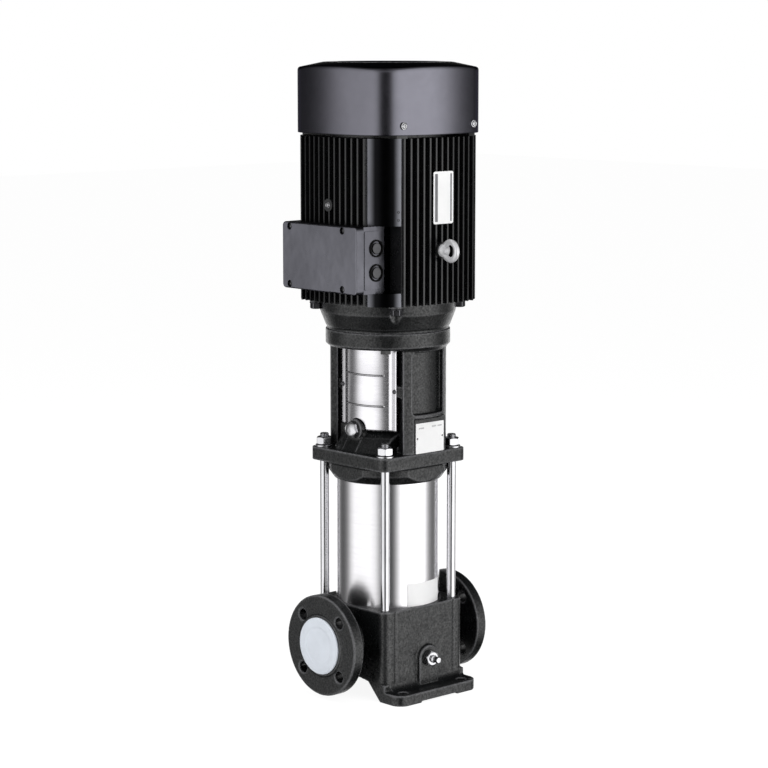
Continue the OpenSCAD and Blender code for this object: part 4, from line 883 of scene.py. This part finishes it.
def make_small_screws(materials):
    level = z_range("fan_cowl")[0] + COWL_SCREW_RISE
    seat = -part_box("cowl_screws")[0].y / MM - COWL_SCREW_OUT
    cowl_screws, guard_screws, earth_screw = Shape(), Shape(), Shape()
    for side in (-1, 1):
        for x in (-COWL_SCREW_X, COWL_SCREW_X):
            place = towards((0, side, 0), (x, side * seat, level))
            pan_head(cowl_screws, place, radius=4.6, height=2.2, shank=3, depth=9, washer=6)
        for y in (-GUARD_SCREW_Y, GUARD_SCREW_Y):
            place = towards((side, 0, 0), (side * GUARD_PLANE, y, GUARD_SCREW_HEIGHT))
            pan_head(guard_screws, place, radius=3.6, height=2.3, shank=2, depth=8)
    low, high = (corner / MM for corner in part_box("earth_screw"))
    middle = (low.x + EARTH_SCREW_OUT, (low.y + high.y) / 2, (low.z + high.z) / 2)
    pan_head(earth_screw, towards(LEFT, middle), radius=4, height=2.2, shank=3, depth=8, washer=5)
    add_piece("cowl_screws", cowl_screws, materials["bright_fixings"])
    add_piece("guard_screws", guard_screws, materials["dark_zinc"])
    add_piece("earth_screw", earth_screw, materials["grey_steel"])


BOLT_CIRCLE = 117
BOLT_TURN = 54
BOLT_ACROSS = 18
# Height of head and washer together, thickness of the washer, and length below the washer
BOLT_HEAD = 11
BOLT_WASHER = 1.6
BOLT_LENGTH = 25


def make_shield_bolts(material):
    level = z_range("shield_bolts")[0] + BOLT_HEAD
    shape = Shape()
    for i in range(4):
        turn = math.radians(BOLT_TURN + 90 * i)
        place = towards((0, 0, -1), (BOLT_CIRCLE * math.cos(turn), BOLT_CIRCLE * math.sin(turn), level))
        hexagon_head(shape, BOLT_ACROSS, BOLT_WASHER, BOLT_HEAD, place, chamfer=0.9, turn=0.3)
        shape.lathe([(6, 0), (11.2, 0), (11.2, 1), (10.6, BOLT_WASHER), (6, BOLT_WASHER)],
            place, segments=40, closed=True)
        shape.lathe([(AXIS, -BOLT_LENGTH), (5.6, -BOLT_LENGTH), (5.6, 2), (AXIS, 2)], place, segments=24)
    add_piece("shield_bolts", shape, material, bevel=0.5, angle=25, segments=3)


EYE_HEIGHT = 732
EYE_SEAT = 129
EYE_RING_Y = 146
EYE_MAJOR = 14
EYE_MINOR = 4.6
EYE_STEPS = 24
# (radius, height) of the collar and the neck, above the seat
EYE_NECK = ((5.9, 0), (10.6, 0), (11, 0.6), (11, 3.8), (10.4, 5), (9, 6), (7.4, 7), (6.2, 8.4), (4.5, 10))
EYE_SHANK = 5.9
EYE_DEPTH = -14


def make_lifting_eye(material):
    neck = [(AXIS, EYE_DEPTH), (EYE_SHANK, EYE_DEPTH), *EYE_NECK, (AXIS, 10.4)]
    shape = Shape().lathe(neck, towards(FRONT, (0, -EYE_SEAT, EYE_HEIGHT)), segments=48)
    ring = [(EYE_MAJOR + EYE_MINOR * math.cos(t), EYE_MINOR * math.sin(t))
        for t in (2 * math.pi * i / EYE_STEPS for i in range(EYE_STEPS))]
    shape.lathe(ring, towards((1, 0, 0), (0, -EYE_RING_Y, EYE_HEIGHT)), segments=64, closed=True)
    add_piece("lifting_eye", shape, material)


# Port covers
PORT_HEIGHT = 90
PLUG_RADIUS = 24.7
CAP_RADIUS = 46.5
CAP_SHEET = 3
CAP_SKIRT = 15
# (radius, depth) of the shallow dish in the face, from its rim inwards
CAP_DISH = ((32.5, 0), (31.6, -0.15), (31, -0.45), (27, -0.5), (AXIS, -0.5))


def make_caps(material):
    profile = [(AXIS, -CAP_SHEET), (PLUG_RADIUS - 2, -CAP_SHEET), (PLUG_RADIUS - 2, -CAP_SKIRT),
        (PLUG_RADIUS, -CAP_SKIRT), (PLUG_RADIUS, -CAP_SHEET), (CAP_RADIUS, -CAP_SHEET), (CAP_RADIUS, -1.2),
        (CAP_RADIUS - 0.5, -0.4), (CAP_RADIUS - 1.6, 0), *CAP_DISH]
    for node, side in (("inlet_cap", -1), ("outlet_cap", 1)):
        low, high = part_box(node)
        face = (high.x if side > 0 else low.x) / MM
        shape = Shape().lathe(profile, towards((side, 0, 0), (face, 0, PORT_HEIGHT)))
        add_piece(node, shape, material)


# Terminal box
LID_ROUND = 2.2
# Part of that rounding on every other edge of the lid
LID_SHARP = 0.15
# Width of the border in which the lid's outer edges lie, and of the recess around a screw
LID_BORDER = 7.5
LID_RECESS = 5.8
LID_SCREW_Y = (-55, 72)
LID_SCREW_INSET = 6.8
LID_SCREW_TURN = math.radians(70)
# Raised pad around the cable entries: its middle, and its width, height and corner
PAD_X = -117
PAD = (30, 92, 2)
BLANK_X = -108
BLANK_LEVELS = (700.6, 739)


def make_terminal_box(materials):
    low, high = (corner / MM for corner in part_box("terminal_lid"))
    front, face = low.x, low.y
    screws = [(y, z) for y in LID_SCREW_Y for z in (low.z + LID_SCREW_INSET, high.z - LID_SCREW_INSET)]

    def lid_share(middle, along):
        inside = abs(middle.y) <= -face - LID_BORDER and low.z + LID_BORDER < middle.z < high.z - LID_BORDER
        if inside or middle.x >= front + 0.1 or abs(along.x) >= 0.5:
            return LID_SHARP
        near = min(math.hypot(middle.y - y, middle.z - z) for y, z in screws)
        return LID_SHARP if near < LID_RECESS else 1.0

    lid = crisp("terminal_lid", materials["box_paint"], LID_ROUND, segments=4, share=lid_share)
    # The lid's front face takes the lighter copy of the box paint, as painted light
    lid.data.materials.append(materials["lid_face_painted_light"])
    for polygon in lid.data.polygons:
        if polygon.normal.x < -0.9:
            polygon.material_index = 1
    lid.modifiers["broken_edges"].use_clamp_overlap = False
    crisp("terminal_box", materials["box_paint"], bevel=0.8, segments=3)

    pad_width, pad_height, corner = PAD
    place = towards(FRONT, (PAD_X, face, (low.z + high.z) / 2))
    rings = [[(u, v, out) for u, v in rounded_rectangle(pad_width - shrink, pad_height - shrink, corner)]
        for out, shrink in ((-0.5, 0), (0.25, 0), (0.5, 0.35))]
    pad = Shape().loft(rings, close_start=False, place=place)
    add_piece("terminal_box", pad, materials["box_paint"], bevel=0.05, name="entry_pad")

    rims, centres = Shape(), Shape()
    for z in BLANK_LEVELS:
        place = towards(FRONT, (BLANK_X, face, z))
        rims.lathe([(8.6, -4), (12.4, -4), (12.4, 0.4), (14, 0.4), (14, 2.2), (13.3, 3), (11.8, 3),
            (11.4, 2.4), (11.2, 0.3), (9.2, 0.3), (9, 2.2), (8.6, 2.6)], place, segments=56, closed=True)
        centres.lathe([(AXIS, -4), (8.6, -4), (8.6, 2.4), (8, 2.9), (AXIS, 2.9)], place, segments=56)
    add_piece("blanking_plugs", rims, materials["plug_black"], bevel=0.2)
    add_piece("blanking_plugs", centres, materials["plug_grey"], bevel=0.2, name="blanking_centres")

    heads, slots = Shape(), Shape()
    slot = rounded_rectangle(6.6, 1.1, corner=0.3, steps=2)
    for y, z in screws:
        place = towards(LEFT, (front + 5, y, z))
        heads.lathe([(AXIS, -20), (2.2, -20), (2.2, 0), (4.5, 0), (4.5, 1.6), (3.9, 2.1), (AXIS, 2.2)],
            place, segments=32)
        slots.loft([[(u, v, level) for u, v in slot] for level in (2.1, 2.3)],
            place=place @ Matrix.Rotation(LID_SCREW_TURN, 4, "Z"))
    add_piece("lid_screws", heads, materials["dark_fixings"], bevel=0.2)
    add_piece("lid_screws", slots, materials["grey_steel"], name="lid_screw_slots")


# Motor frame
# Where the smooth corners start beside the fins, half the width over them, and their radius
FRAME_CORNER_START = 77
FRAME_HALF = 117.3
FRAME_CORNER = 58
# Two small rings cast into the near corner
MARK_TURN = math.radians(-112.3)
MARK_LEVELS = (783, 795.5)


def make_motor_frame(materials):
    mesh = crisp("motor_frame", materials["motor_paint"]).data
    # The rounded corners take the paint with painted shade along their middles
    mesh.materials.append(materials["corner_paint_painted_shade"])
    for polygon in mesh.polygons:
        x, y = abs(polygon.center.x) / MM, abs(polygon.center.y) / MM
        if min(x, y) > FRAME_CORNER_START:
            polygon.material_index = 1
    rings = Shape()
    outward = Vector((math.cos(MARK_TURN), math.sin(MARK_TURN), 0))
    middle = FRAME_CORNER - FRAME_HALF
    for z in MARK_LEVELS:
        place = towards(outward, Vector((middle, middle, z)) + outward * FRAME_CORNER)
        rings.lathe([(1.1, -1), (2, -1), (2, 0.3), (1.8, 0.5), (1.3, 0.5), (1.1, 0.3)],
            place, segments=24, closed=True)
    add_piece("motor_frame", rings, materials["motor_paint"], name="casting_marks")


# Labels
def plate(shape, place, width, height, thickness, corner):
    outline = rounded_rectangle(width, height, corner)
    small = rounded_rectangle(width - 0.3, height - 0.3, corner)
    return shape.loft([[(u, v, 0) for u, v in outline], [(u, v, thickness - 0.15) for u, v in outline],
        [(u, v, thickness) for u, v in small]], place=place)


# Centre (x, y, z), width and height
MOTOR_LABEL = (2, -127.1, 815.5, 43, 83)
STOOL_LABEL = (8, -91.1, 426.3, 62, 49.4)
LABEL_SHEET = 0.6
# Depth at which a printed bar or a rivet starts in its label
PRINT_SINK = 0.1
# Radius, lowest and highest level, half angle and middle in degrees
SLEEVE_LABEL_RADIUS = 85.7
SLEEVE_LABEL = (149, 187)
SLEEVE_LABEL_HALF = 25
SLEEVE_LABEL_MIDDLE = 4
SLEEVE_LABEL_STEPS = 40


def make_labels(materials):
    x, y, z, width, height = MOTOR_LABEL
    place = towards(FRONT, (x, y, z))
    shape, bars, rules, rivets = Shape(), Shape(), Shape(), Shape()
    plate(shape, place, width, height, LABEL_SHEET, corner=3)
    printed = Matrix.Translation((0, 0, LABEL_SHEET - PRINT_SINK))
    for u, bar in ((-15.6, 6.4), (16.4, 3.6)):
        plate(bars, place @ printed @ Matrix.Translation((u, 0, 0)), bar, height - 7,
            thickness=0.16, corner=0.8)

    x, y, z, width, height = STOOL_LABEL
    place = towards(FRONT, (x, y, z))
    plate(shape, place, width, height, LABEL_SHEET, corner=1.2)
    for u, v, bar in ((-19, 16.5, 12), (9, 17.5, 10), (21.5, 17.5, 10)):
        plate(rules, place @ printed @ Matrix.Translation((u, v, 0)), bar, 2.4,
            thickness=0.13, corner=0.6)
    for side in (-1, 1):
        rivets.lathe([(1.5, 0), (1.5, 0.2), (1.0, 0.7), (AXIS, 0.9)],
            place @ printed @ Matrix.Translation((side * (width / 2 - 3.4), 0, 0)), segments=20)

    low, high = SLEEVE_LABEL
    inner, outer = SLEEVE_LABEL_RADIUS, SLEEVE_LABEL_RADIUS + LABEL_SHEET
    profile = ((inner, low), (inner + 0.5, low), (outer, low + 0.2), (outer, high - 0.2), (inner + 0.5, high),
        (inner, high))
    rings = []
    for i in range(SLEEVE_LABEL_STEPS + 1):
        aside = SLEEVE_LABEL_HALF * (2 * i / SLEEVE_LABEL_STEPS - 1)
        turn = math.radians(-90 + SLEEVE_LABEL_MIDDLE + aside)
        rings.append([(r * math.cos(turn), r * math.sin(turn), z) for r, z in profile])
    shape.loft(rings)
    add_piece("label_plates", bars, materials["print_grey"], name="motor_label_bars")
    add_piece("label_plates", rules, materials["print_pale"], name="stool_label_rules")
    add_piece("label_plates", rivets, materials["dark_fixings"], name="stool_label_rivets")
    add_piece("label_plates", shape, materials["label_film"], bevel=0.1)


make_camera()
make_world()
make_lamps()
make_floor()
materials = make_materials()

material_of_node = {row["node"]: row["material_slot"] for row in frame["record"]["subparts"]}

for part_name, cad_object in nodes.items():
    cad_object.data.materials.clear()
    cad_object.data.materials.append(materials[material_of_node[part_name]])

for part_name in CASTINGS:
    casting(part_name, materials["black_casting"])

make_cowl(materials["cowl_paint"])
make_sleeve(materials["polished_stainless"])
make_rods(materials["bright_fixings"])
make_nuts(materials["bright_fixings"])
make_guard("guard_outlet_side", 1, materials["guard_stainless"])
make_guard("guard_inlet_side", -1, materials["guard_stainless"])
make_plugs(materials["bright_fixings"], materials["dark_fixings"])
make_small_screws(materials)
make_shield_bolts(materials["dark_zinc"])
make_lifting_eye(materials["cast_stainless"])
make_caps(materials["cap_plastic"])
make_terminal_box(materials)
make_labels(materials)
make_motor_frame(materials)

scene.view_settings.view_transform = "Standard"
